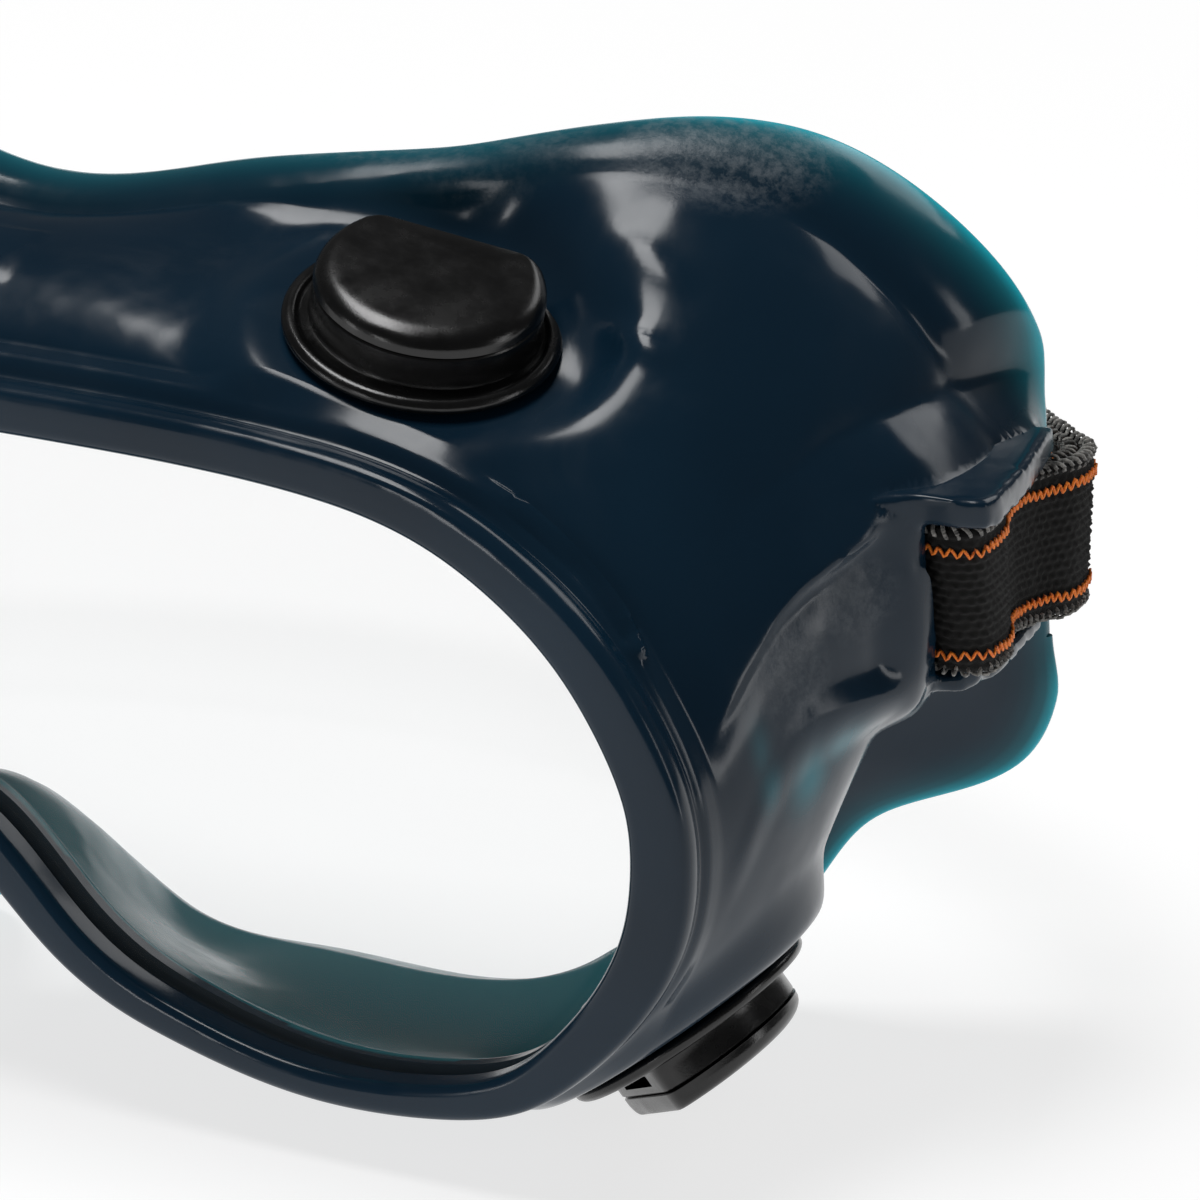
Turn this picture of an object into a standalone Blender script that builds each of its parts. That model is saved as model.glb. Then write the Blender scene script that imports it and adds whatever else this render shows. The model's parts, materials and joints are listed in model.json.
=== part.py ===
"""Welding goggles with a one-piece moulded PVC body, clear lens, four push-in vents and a woven elastic headband.

Frame: the lens faces -Y, +X is the wearer's left side as seen from the front on the right, +Z is up.
The goggles stand upright on the rims of the two lower vents and on the two cheek flanges; the origin is
the bottom centre of the whole object's box. All construction dimensions are millimetres, scaled once by MM.
"""

import math

import bmesh
import bpy
import numpy as np
from mathutils import Matrix, Vector

MM = 0.001

# ---------------------------------------------------------------- driving dimensions (mm)
GAP = 0.3                     # clearance between pieces that touch
GROUND_Z = -58.27             # underside of vents and cheek flanges, measured from the lens datum
ORIGIN_Y = 49.53              # middle of the object's depth, measured from the bezel front

WALL = 2.2                    # body wall
FLANGE_EDGE = 1.2             # face-seal flange thickness at its edge
BEZEL_SIDE = 3.0              # depth of the bezel's outer side wall
BEZEL_ROUND = 1.1             # rounding of the bezel's outer front edge
GROOVE_FRONT, GROOVE_BACK = 2.9, 5.5     # lens groove in the depth direction
GROOVE_DEPTH = 1.9            # distance of the groove's floor from the bezel outline
REAR_LIP_BACK = 7.2
FOOT_Y = 6.4                  # where the wall leaves the bezel

LENS_THICK = 2.0
LENS_FIELD = 0.4              # height of the lens's raised central field

VENT_DISC_R, VENT_NECK_R = 12.2, 8.0
VENT_HOOD_R, VENT_HOOD_FLAT = 10.1, 6.4   # D-shaped hood: radius, distance of its flat from the axis
VENT_PARTING, VENT_TOP = 4.2, 6.4        # where the lid meets the base, and the hood's top
VENT_BORE_R, VENT_BORE_FLAT = 6.4, 5.0
HOOD_SHIFT = 1.0                         # the hood sits this far off the disc's axis, towards its flat

STRAP_WIDTH, STRAP_THICK = 14.5, 1.3
LUG_PIVOT_Y, LUG_PIVOT_Z = 36.0, -9.2    # middle of the strap bars
LUG_TILT = math.radians(-3.5)            # fall of the strap towards the back
LUG_LEAN = 0.27                          # the bars lean, tops forward, per mm of height
POST_X, POST_Y, POST_R = 86.4, 35.8, 1.5
SEAM_R = 30.0                 # the headband's swing seam, a cylinder about the bar line
BAND_R, BAND_CY = 120.5, -22.5           # headband arc behind the head side, and its centre
SLIDER_ANGLE = math.radians(15.0)

# Control stations of the body, from the top middle round one side to the nose arch.
# t, bezel outline (x, z), front fold of the wall (x, y, z), middle of the wall, crease, flange edge
STATIONS = (
    (0.000, (0.0, 9.3), (0.0, 10.3, 14.6), (0.0, 18.0, 16.9), (0.0, 26.3, 15.6), (0.0, 34.0, 16.9)),
    (0.100, (20.0, 9.4), (20.0, 11.0, 14.2), (19.0, 20.0, 17.0), (17.6, 27.4, 18.7), (18.0, 35.5, 20.4)),
    (0.200, (40.3, 8.6), (40.5, 13.0, 12.9), (39.5, 23.5, 15.6), (37.5, 32.6, 21.7), (36.5, 39.2, 23.2)),
    (0.300, (57.0, 4.2), (58.6, 13.5, 9.5), (58.0, 24.0, 16.6), (56.0, 36.8, 24.3), (56.7, 45.3, 27.3)),
    (0.360, (66.0, -2.0), (68.6, 14.0, 4.0), (69.8, 26.0, 13.0), (66.3, 40.4, 21.9), (68.0, 49.7, 25.5)),
    (0.420, (72.3, -9.6), (75.3, 14.0, -4.5), (78.0, 28.0, 5.0), (75.2, 43.2, 15.2), (79.0, 54.6, 17.0)),
    (0.480, (76.3, -18.0), (78.8, 14.0, -14.0), (82.0, 28.0, -6.0), (81.2, 45.6, 4.5), (85.7, 57.9, 3.5)),
    (0.530, (77.1, -25.0), (79.3, 14.0, -22.5), (82.0, 28.0, -17.0), (81.2, 45.0, -9.0), (85.9, 57.8, -11.0)),
    (0.580, (76.1, -31.5), (78.3, 14.0, -30.0), (79.8, 26.0, -26.0), (76.5, 43.6, -20.5), (86.9, 58.9, -21.5)),
    (0.630, (73.1, -37.8), (75.9, 14.0, -37.5), (77.3, 25.5, -34.0), (69.2, 42.4, -28.0), (84.0, 57.0, -34.0)),
    (0.680, (68.2, -43.9), (71.0, 14.0, -45.0), (73.5, 25.0, -42.5), (64.2, 41.0, -36.0), (72.4, 51.6, -39.4)),
    (0.730, (61.5, -49.4), (63.5, 14.0, -51.0), (65.5, 24.5, -50.0), (59.5, 38.6, -45.0), (65.6, 48.6, -48.6)),
    (0.780, (53.0, -52.0), (54.5, 14.0, -54.3), (55.5, 24.0, -55.0), (51.5, 36.2, -53.8), (54.5, 42.6, -55.6)),
    (0.840, (40.0, -52.6), (40.3, 14.0, -54.8), (40.5, 21.0, -55.9), (39.0, 32.0, -56.4), (40.0, 36.8, -57.9)),
    (0.900, (26.0, -49.7), (25.2, 14.0, -52.3), (24.5, 20.5, -54.2), (24.0, 31.2, -56.0), (24.0, 36.0, -57.8)),
    (0.950, (13.0, -42.6), (12.3, 13.0, -45.5), (11.8, 20.0, -49.3), (11.4, 28.8, -53.1), (12.2, 33.8, -57.3)),
    (0.975, (6.0, -35.9), (6.0, 11.5, -38.2), (6.0, 18.5, -41.6), (6.0, 24.6, -46.2), (6.6, 30.4, -51.6)),
    (1.000, (0.0, -33.9), (0.0, 9.8, -35.0), (0.0, 14.2, -36.2), (0.0, 18.5, -38.4), (0.0, 23.0, -41.0)),
)
# t, width of the bezel's front face, how far the wall's foot stands out from the bezel outline
BAND = (
    (0.00, 4.4, 1.9), (0.10, 4.4, 1.9), (0.20, 4.4, 1.8), (0.28, 4.6, 1.6), (0.34, 4.9, 1.1), (0.40, 5.2, 0.4),
    (0.48, 5.6, 0.3), (0.56, 5.7, 0.3), (0.64, 5.0, 0.3), (0.72, 4.0, 0.3), (0.80, 3.3, 0.3), (0.88, 3.3, 0.3),
    (0.94, 4.0, 0.3), (1.00, 4.6, 0.3),
)
# Vent seats on the right-hand side: centre, outward axis, direction that the hood's flat face looks
VENTS = {
    "top": ((43.0, 18.04, 13.36), (0.23, -0.19, 0.95), (-0.14, 0.96, 0.24)),
    "bottom": ((66.3, 22.0, -47.4), (0.62, 0.04, -0.78), (-0.50, -0.76, -0.41)),
}

COLUMNS = 38                  # body columns on each side
WALL_ROWS = 6
VENT_SEGMENTS = 24


# ---------------------------------------------------------------- curves
def cubic_through(knots, values, odd):
    """C2 cubic through values at knots in 0..1, mirrored past both ends; odd columns change sign there."""
    t = np.array(knots, float)
    v = np.array(values, float)
    flip = np.ones(v.shape[1])
    flip[list(odd)] = -1.0
    k = 5
    t = np.concatenate([-t[k:0:-1], t, 2.0 - t[-2:-k - 2:-1]])
    v = np.concatenate([v[k:0:-1] * flip, v, v[-2:-k - 2:-1] * flip])
    n = len(t)
    h = np.diff(t)
    a = np.zeros((n, n))
    b = np.zeros_like(v)
    a[0, 0] = a[-1, -1] = 1.0
    for i in range(1, n - 1):
        a[i, i - 1], a[i, i], a[i, i + 1] = h[i - 1], 2.0 * (h[i - 1] + h[i]), h[i]
        b[i] = 6.0 * ((v[i + 1] - v[i]) / h[i] - (v[i] - v[i - 1]) / h[i - 1])
    m = np.linalg.solve(a, b)

    def at(s):
        s = np.atleast_1d(np.asarray(s, float))
        i = np.clip(np.searchsorted(t, s, side="right") - 1, 0, n - 2)
        w, p, q = h[i][:, None], (t[i + 1] - s)[:, None], (s - t[i])[:, None]
        return (m[i] * p**3 + m[i + 1] * q**3) / (6 * w) + (v[i] / w - m[i] * w / 6) * p + (
            v[i + 1] / w - m[i + 1] * w / 6
        ) * q

    return at


T_KNOTS = [row[0] for row in STATIONS]
bezel_outline = cubic_through(T_KNOTS, [row[1] for row in STATIONS], (0,))
ring_fold = cubic_through(T_KNOTS, [row[2] for row in STATIONS], (0,))
ring_mid = cubic_through(T_KNOTS, [row[3] for row in STATIONS], (0,))
ring_crease = cubic_through(T_KNOTS, [row[4] for row in STATIONS], (0,))
ring_flange = cubic_through(T_KNOTS, [row[5] for row in STATIONS], (0,))
band_of = cubic_through([row[0] for row in BAND], [row[1:] for row in BAND], ())


def outline_frame(t):
    """Point of the bezel outline and the outward normal in the lens plane."""
    p = bezel_outline(t)
    d = bezel_outline(np.asarray(t) + 1e-4) - bezel_outline(np.asarray(t) - 1e-4)
    d /= np.linalg.norm(d, axis=1, keepdims=True)
    return p, np.stack([-d[:, 1], d[:, 0]], 1)


def column_stations(columns):
    """Stations of the body's columns, closer together round the cheek corner and the nose arch."""
    return np.interp(np.linspace(0.0, 1.0, columns + 1), (0.0, 0.24, 0.5, 0.8, 1.0), (0.0, 0.33, 0.58, 0.86, 1.0))


def offset_ring(t, out, y):
    """Ring parallel to the bezel outline, out mm outside it, at depth y."""
    p, n = outline_frame(t)
    q = p + n * np.reshape(out, (-1, 1))
    return np.stack([q[:, 0], np.full(len(q), 0.0) + y, q[:, 1]], 1)


def unit(v):
    v = np.asarray(v, float)
    return v / np.linalg.norm(v)


def vent_frame(which, side):
    """Local frame of a vent: columns are the hood's flat direction, the cross direction and the axis."""
    centre, axis, flat = VENTS[which]
    m = np.array([side, 1.0, 1.0])
    c, w = np.array(centre) * m, unit(axis) * m
    u = np.array(flat) * m
    u = unit(u - w * (u @ w))
    v = np.cross(w, u)
    return c, np.stack([u, v, w], 1)


def smooth(x):
    x = np.clip(x, 0.0, 1.0)
    return x * x * (3.0 - 2.0 * x)


def flatten_on_vents(p):
    """Eases the wall onto the flat seat under each vent."""
    p = p.copy()
    for which in VENTS:
        for side in (1.0, -1.0):
            c, f = vent_frame(which, side)
            q = (p - c) @ f
            r = np.hypot(q[:, 0], q[:, 1])
            k = (1.0 - smooth((r - 13.2) / 5.0)) * (np.abs(q[:, 2]) < 9.0)
            p -= (k * q[:, 2])[:, None] * f[:, 2]
    return p


def wall_rows(t, rows):
    """Rows of the outer wall from the bezel's foot over the fold to the crease."""
    foot = offset_ring(t, band_of(t)[:, 1], FOOT_Y)
    a, b, c = ring_fold(t), ring_mid(t), ring_crease(t)
    knots = np.array([0.0, 0.26, 0.60, 1.0])
    out = []
    for s in np.linspace(0.0, 1.0, rows):
        w = []
        for i in range(4):
            others = [knots[j] for j in range(4) if j != i]
            w.append(np.prod([(s - o) / (knots[i] - o) for o in others]))
        out.append(foot * w[0] + a * w[1] + b * w[2] + c * w[3])
    return out


def grid_normals(grid):
    """Outward normals of a grid of rows x columns that closes along its columns."""
    along = np.roll(grid, -1, 1) - np.roll(grid, 1, 1)
    down = np.gradient(grid, axis=0)
    n = np.cross(along, down)
    n /= np.linalg.norm(n, axis=2, keepdims=True)
    return n


def mirrored(ring_half):
    """Closed ring from the half that runs from the top middle to the nose middle."""
    left = ring_half[-2:0:-1] * np.array([-1.0, 1.0, 1.0])
    return np.concatenate([ring_half, left])


def body_rings(columns, rows):
    """Every ring of the body's skin, from the front lip outside to the flange edge and back inside to the lip."""
    t = column_stations(columns)
    band = band_of(t)
    width, foot = band[:, 0], band[:, 1]
    front = [
        offset_ring(t, -width, GROOVE_FRONT),
        offset_ring(t, -width, 0.8),
        offset_ring(t, -width + 0.8, 0.0),
        offset_ring(t, np.full(len(t), -BEZEL_ROUND), 0.0),
        offset_ring(t, np.full(len(t), -0.3), 0.35),
        offset_ring(t, np.full(len(t), 0.0), BEZEL_ROUND),
        offset_ring(t, np.full(len(t), -0.1), BEZEL_SIDE),
        offset_ring(t, np.full(len(t), -0.7), BEZEL_SIDE + 0.8),
        offset_ring(t, foot * 0.9 - 0.1, 4.9),
    ]
    walls = [flatten_on_vents(r) for r in wall_rows(t, rows)]
    crease, edge = ring_crease(t), ring_flange(t)
    flange = []
    for s in (0.4, 0.75, 1.0):
        mid = crease * (1 - s) + edge * s
        mid[:, 1] += 0.9 * math.sin(math.pi * s)
        flange.append(mid)
    skin = np.array([mirrored(r) for r in walls + flange])
    normal = grid_normals(skin)
    count = len(skin)
    thick = np.full(count, WALL)
    thick[rows:] = (1.9, 1.5, FLANGE_EDGE)
    inner = skin - normal * thick[:, None, None]
    inner[:, 0] *= np.array([0.0, 1.0, 1.0])
    inner[:, columns] *= np.array([0.0, 1.0, 1.0])
    rings = [mirrored(r) for r in front] + list(skin) + [inner[i] for i in range(count - 1, 0, -1)]
    back = [
        offset_ring(t, -width * 0.25 - 2.0, REAR_LIP_BACK + 0.9),
        offset_ring(t, -width + 0.1, REAR_LIP_BACK),
        offset_ring(t, -width + 0.1, GROOVE_BACK),
        offset_ring(t, np.full(len(t), -GROOVE_DEPTH), GROOVE_BACK),
        offset_ring(t, np.full(len(t), -GROOVE_DEPTH), GROOVE_FRONT),
    ]
    return rings + [mirrored(r) for r in back]


# ---------------------------------------------------------------- Blender helpers
def place(p):
    """Construction millimetres to world metres: origin under the middle of the object."""
    p = np.asarray(p, float)
    return (p - np.array([0.0, ORIGIN_Y, GROUND_Z])) * MM


def mesh_from(name, points, faces):
    mesh = bpy.data.meshes.new(name)
    mesh.from_pydata([tuple(q) for q in place(points)], [], faces)
    mesh.validate()
    return mesh


def rings_to_faces(rings, columns, closed_loop=True, caps=False):
    faces = []
    n = len(rings)
    last = n if closed_loop else n - 1
    for i in range(last):
        j = (i + 1) % n
        for k in range(columns):
            m = (k + 1) % columns
            faces.append((i * columns + k, i * columns + m, j * columns + m, j * columns + k))
    if caps:
        faces.append(tuple(range(columns)))
        faces.append(tuple((n - 1) * columns + k for k in reversed(range(columns))))
    return faces


def outward(mesh):
    bm = bmesh.new()
    bm.from_mesh(mesh)
    bmesh.ops.recalc_face_normals(bm, faces=bm.faces)
    if bm.calc_volume(signed=True) < 0:
        bmesh.ops.reverse_faces(bm, faces=bm.faces)
    bm.to_mesh(mesh)
    bm.free()
    return mesh


def make(name, mesh, material=None, smooth_angle=35.0, guide=False):
    obj = bpy.data.objects.new(name, mesh)
    bpy.context.scene.collection.objects.link(obj)
    if material is not None:
        mesh.materials.append(material)
    if smooth_angle:
        mesh.shade_smooth()
        mesh.set_sharp_from_angle(angle=math.radians(smooth_angle))
    if guide:
        obj.hide_render = True
        obj.display_type = "WIRE"
    return obj


def cut(obj, tool, operation):
    mod = obj.modifiers.new(operation.lower(), "BOOLEAN")
    mod.operation = operation
    mod.solver = "EXACT"
    mod.object = tool
    return mod


def material(name, colour, roughness, metallic=0.0, alpha=1.0, coat=0.0):
    mat = bpy.data.materials.new(name)
    mat.use_nodes = True
    shader = mat.node_tree.nodes["Principled BSDF"]
    shader.inputs["Base Color"].default_value = (*colour, 1.0)
    shader.inputs["Roughness"].default_value = roughness
    shader.inputs["Metallic"].default_value = metallic
    shader.inputs["Alpha"].default_value = alpha
    shader.inputs["Coat Weight"].default_value = coat
    return mat


def turned(profile, frame, segments):
    """Points and faces of a closed profile of (radius, height) turned about the frame's third axis."""
    c, f = frame
    points = []
    for k in range(segments):
        a = 2 * math.pi * k / segments
        for r, h in profile:
            points.append(c + f @ np.array([r * math.cos(a), r * math.sin(a), h]))
    n = len(profile)
    faces = []
    for k in range(segments):
        m = (k + 1) % segments
        for i in range(n):
            j = (i + 1) % n
            faces.append((k * n + i, k * n + j, m * n + j, m * n + i))
    return points, faces


def cylinder(frame, radius, low, high, segments=48):
    c, f = frame
    points = [
        c + f @ np.array([radius * math.cos(2 * math.pi * k / segments), radius * math.sin(2 * math.pi * k / segments), h])
        for h in (low, high)
        for k in range(segments)
    ]
    faces = [(k, (k + 1) % segments, segments + (k + 1) % segments, segments + k) for k in range(segments)]
    faces += [tuple(reversed(range(segments))), tuple(range(segments, 2 * segments))]
    return points, faces


def prism(plan, low, high, frame=None):
    """Closed prism of a plan polygon [(x, y)...] between two heights, mapped by frame(x, y, z)."""
    n = len(plan)
    points = [np.array([x, y, h]) for h in (low, high) for x, y in plan]
    if frame is not None:
        points = [frame(*p) for p in points]
    faces = [(k, (k + 1) % n, n + (k + 1) % n, n + k) for k in range(n)]
    faces += [tuple(reversed(range(n))), tuple(range(n, 2 * n))]
    return points, faces


def joined(name, pieces):
    """One mesh of several closed shells, each turned outward."""
    bm = bmesh.new()
    for points, faces in pieces:
        mesh = outward(mesh_from("piece", points, faces))
        bm.from_mesh(mesh)
        bpy.data.meshes.remove(mesh)
    mesh = bpy.data.meshes.new(name)
    bm.to_mesh(mesh)
    bm.free()
    return mesh


# ---------------------------------------------------------------- strap lugs
def lug_frame(side, ease=False):
    """Maps lug coordinates to the body: tilted about the bar line, the bars' tops leaning forward.

    With ease, the lean dies out towards the back, as it does along the strap.
    """
    ca, sa = math.cos(LUG_TILT), math.sin(LUG_TILT)

    def at(x, y, z):
        lean = LUG_LEAN * (1.0 - smooth((y - 37.0) / 17.0)) if ease else LUG_LEAN
        dy, dz = y - lean * (z - LUG_PIVOT_Z) - LUG_PIVOT_Y, z - LUG_PIVOT_Z
        return np.array([side * x, LUG_PIVOT_Y + dy * ca - dz * sa, LUG_PIVOT_Z + dy * sa + dz * ca])

    return at


HOOD_LOW, HOOD_HIGH = -1.4, 1.5
SHELF_LOW, SHELF_HIGH = -18.6, -16.9


def lug_blocks(side):
    """Hood above the strap, shelf under it and the cheek that carries both, before the pocket is cut."""
    at = lug_frame(side)
    hood = prism([(77.0, 20.0), (85.0, 31.4), (88.5, 31.6), (91.0, 32.6), (91.2, 35.0), (90.0, 44.0), (87.3, 56.5),
                  (84.8, 54.5), (80.2, 44.0), (79.4, 32.0)], HOOD_LOW, HOOD_HIGH, at)
    shelf = prism([(79.4, 22.0), (84.6, 32.6), (87.0, 33.6), (88.0, 40.0), (86.4, 53.0), (84.8, 54.5), (80.3, 43.0),
                   (80.8, 30.0)], SHELF_LOW, SHELF_HIGH, at)
    cheek = prism([(78.4, 18.0), (84.8, 31.2), (85.3, 32.6), (83.2, 34.6), (83.0, 46.0), (80.4, 43.0), (79.9, 30.0)],
                  SHELF_LOW + 0.2, HOOD_HIGH - 0.2, at)
    return [hood, shelf, cheek]


def lug_pocket(side):
    """Space that the strap's inner leg passes through, between the wall and the bar."""
    at = lug_frame(side)
    return [prism([(82.5, 34.6), (85.3, 32.2), (96.0, 28.5), (96.0, 54.0), (88.5, 54.0), (84.6, 50.0), (82.9, 45.0)],
                  SHELF_HIGH, HOOD_LOW, at),
            prism([(85.6, 54.2), (96.0, 54.2), (96.0, 63.0), (83.6, 63.0), (85.2, 57.6)], -20.5, -1.6, at)]


def lug_post(side):
    at = lug_frame(side)
    plan = [(POST_X + POST_R * math.cos(a), POST_Y + POST_R * math.sin(a)) for a in
            [2 * math.pi * k / 16 for k in range(16)]]
    return [prism(plan, SHELF_HIGH - 1.0, HOOD_LOW + 1.0, at)]


# ---------------------------------------------------------------- strap
def ribbon(path, up, half_width, half_thick, centre_out=0.0):
    """Closed band of rectangular section swept along a path; up gives the width direction at each point."""
    path, up = np.asarray(path, float), np.asarray(up, float)
    tangent = np.gradient(path, axis=0)
    tangent /= np.linalg.norm(tangent, axis=1, keepdims=True)
    side = np.cross(tangent, up)
    side /= np.linalg.norm(side, axis=1, keepdims=True)
    wide = np.cross(side, tangent)
    rings = []
    for sw, st in ((-1, -1), (1, -1), (1, 1), (-1, 1)):
        rings.append(path + wide * sw * half_width + side * (st * half_thick + centre_out))
    rings = np.array(rings)
    n = path.shape[0]
    points = rings.transpose(1, 0, 2).reshape(-1, 3)
    faces = []
    for i in range(n - 1):
        for k in range(4):
            m = (k + 1) % 4
            faces.append((i * 4 + k, i * 4 + m, (i + 1) * 4 + m, (i + 1) * 4 + k))
    faces += [(3, 2, 1, 0), tuple((n - 1) * 4 + k for k in range(4))]
    return points, faces


def smooth_path(points, count):
    """Even samples of a chord-length Catmull-Rom curve through the points."""
    p = np.asarray(points, float)
    p = np.concatenate([[2 * p[0] - p[1]], p, [2 * p[-1] - p[-2]]])
    out = []
    for i in range(1, len(p) - 2):
        for s in np.linspace(0, 1, 24, endpoint=False):
            a, b, c, d = p[i - 1], p[i], p[i + 1], p[i + 2]
            out.append(0.5 * ((2 * b) + (c - a) * s + (2 * a - 5 * b + 4 * c - d) * s**2 + (3 * b - a - 3 * c + d) * s**3))
    out.append(p[-2])
    out = np.array(out)
    length = np.concatenate([[0], np.cumsum(np.linalg.norm(np.diff(out, axis=0), axis=1))])
    at = np.linspace(0, length[-1], count)
    return np.stack([np.interp(at, length, out[:, k]) for k in range(out.shape[1])], 1)


BAND_TILT = math.radians(-7.0)
SEAM_LIFT = SEAM_R * (math.sin(LUG_TILT) - math.sin(BAND_TILT))


def band_frame(side=1.0):
    """Headband plane: it falls slightly towards the back and meets the loops at the seam."""
    ca, sa = math.cos(BAND_TILT), math.sin(BAND_TILT)

    def at(x, y, z):
        dy, dz = y - LUG_PIVOT_Y, z - LUG_PIVOT_Z
        return np.array([side * x, LUG_PIVOT_Y + dy * ca - dz * sa, LUG_PIVOT_Z + SEAM_LIFT + dy * sa + dz * ca])

    return at


LAYER = STRAP_THICK + GAP     # spacing of two strap layers


def arc_point(radius, angle):
    return (radius * math.sin(angle), BAND_CY + radius * math.cos(angle))


def strap_loop_path(count):
    """Plan path round a bar: outer leg from behind, over the flange edge, round the bar and back inside."""
    r = POST_R + GAP + STRAP_THICK / 2
    outer = [arc_point(BAND_R, math.radians(a)) for a in (39.6, 41.0, 42.4, 43.6, 44.8)]
    outer += [(87.7, 60.5), (88.7, 57.7), (88.7, 55.0), (87.2, 51.6), (86.4, 47.8), (87.0, 43.6), (88.5, 40.0)]
    turn = [(POST_X + r * math.cos(a), POST_Y + r * math.sin(a)) for a in np.radians([0, -36, -72, -108, -144, -180])]
    inner = [(83.85, 40.0), (83.9, 43.6), (84.7, 48.0), (85.6, 52.0), (87.0, 55.2), (87.1, 57.6), (86.2, 59.8)]
    inner += [arc_point(BAND_R - LAYER, math.radians(a)) for a in (44.8, 43.6, 42.4, 41.0, 39.6)]
    return smooth_path(outer + turn + inner, count)


def upright(count, tilt):
    return np.tile(np.array([0.0, -math.sin(tilt), math.cos(tilt)]), (count, 1))


def arc_path(radius, a0, a1, count, side=1.0):
    at = band_frame(side)
    return [at(*arc_point(radius, a), LUG_PIVOT_Z) for a in np.linspace(a0, a1, count)]


def seam_cylinder(radius):
    """Cutter about the bar line, X axis through both bars."""
    frame = (np.array([0.0, LUG_PIVOT_Y, LUG_PIVOT_Z]), np.array([[0.0, 0, 1.0], [1.0, 0, 0], [0, 1.0, 0]]))
    return cylinder(frame, radius, -110.0, 110.0, 96)


# ---------------------------------------------------------------- vents
def d_outline(radius, flat, corner, arc_count=18, shift=0.0):
    """D-shaped plan, its flat at x = flat, with rounded corners; shift moves the round part's centre along x."""
    flat -= shift
    a0 = math.acos(flat / radius) + corner / radius
    pts = [(radius * math.cos(a), radius * math.sin(a)) for a in np.linspace(a0, 2 * math.pi - a0, arc_count)]
    y0 = math.sqrt(radius**2 - flat**2)
    ends = []
    for sign, start in ((-1.0, pts[-1]), (1.0, pts[0])):
        c, e = (flat, sign * y0), (flat, sign * (y0 - corner * 1.3))
        row = []
        for s in (0.35, 0.7, 1.0):
            row.append(tuple((1 - s) ** 2 * start[k] + 2 * s * (1 - s) * c[k] + s * s * e[k] for k in (0, 1)))
        ends.append(row)
    return [(x + shift, y) for x, y in pts + ends[0] + ends[1][::-1]]


def loft(sections, frame):
    """Closed solid through plan outlines of equal count at rising heights [(outline, height)...]."""
    c, f = frame
    n = len(sections[0][0])
    points = [c + f @ np.array([x, y, h]) for outline, h in sections for x, y in outline]
    faces = []
    for i in range(len(sections) - 1):
        for k in range(n):
            m = (k + 1) % n
            faces.append((i * n + k, i * n + m, (i + 1) * n + m, (i + 1) * n + k))
    faces += [tuple(reversed(range(n))), tuple(range((len(sections) - 1) * n, len(sections) * n))]
    return points, faces


def box(frame, lo, hi):
    plan = [(lo[0], lo[1]), (hi[0], lo[1]), (hi[0], hi[1]), (lo[0], hi[1])]
    c, f = frame
    return prism(plan, lo[2], hi[2], lambda x, y, z: c + f @ np.array([x, y, z]))


VENT_BASE_PROFILE = (
    (0.5, -5.0), (7.4, -5.0), (9.2, -3.7), (9.2, -2.9), (VENT_NECK_R, -2.8), (VENT_NECK_R, GAP),
    (12.0, GAP), (VENT_DISC_R, 0.7), (VENT_DISC_R, 1.3), (12.0, 1.75), (11.2, 1.65), (10.6, 1.2), (0.5, 1.2),
)
# height, inset of the round part, shift of its centre, inset of the flat: the rounding is wider in front
LID_STEPS = ((VENT_PARTING + GAP, 0.0, 0.0, 0.0), (5.2, 0.1, 0.05, 0.1), (5.9, 0.6, 0.25, 0.6), (VENT_TOP, 1.7, 0.7, 1.7))


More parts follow.
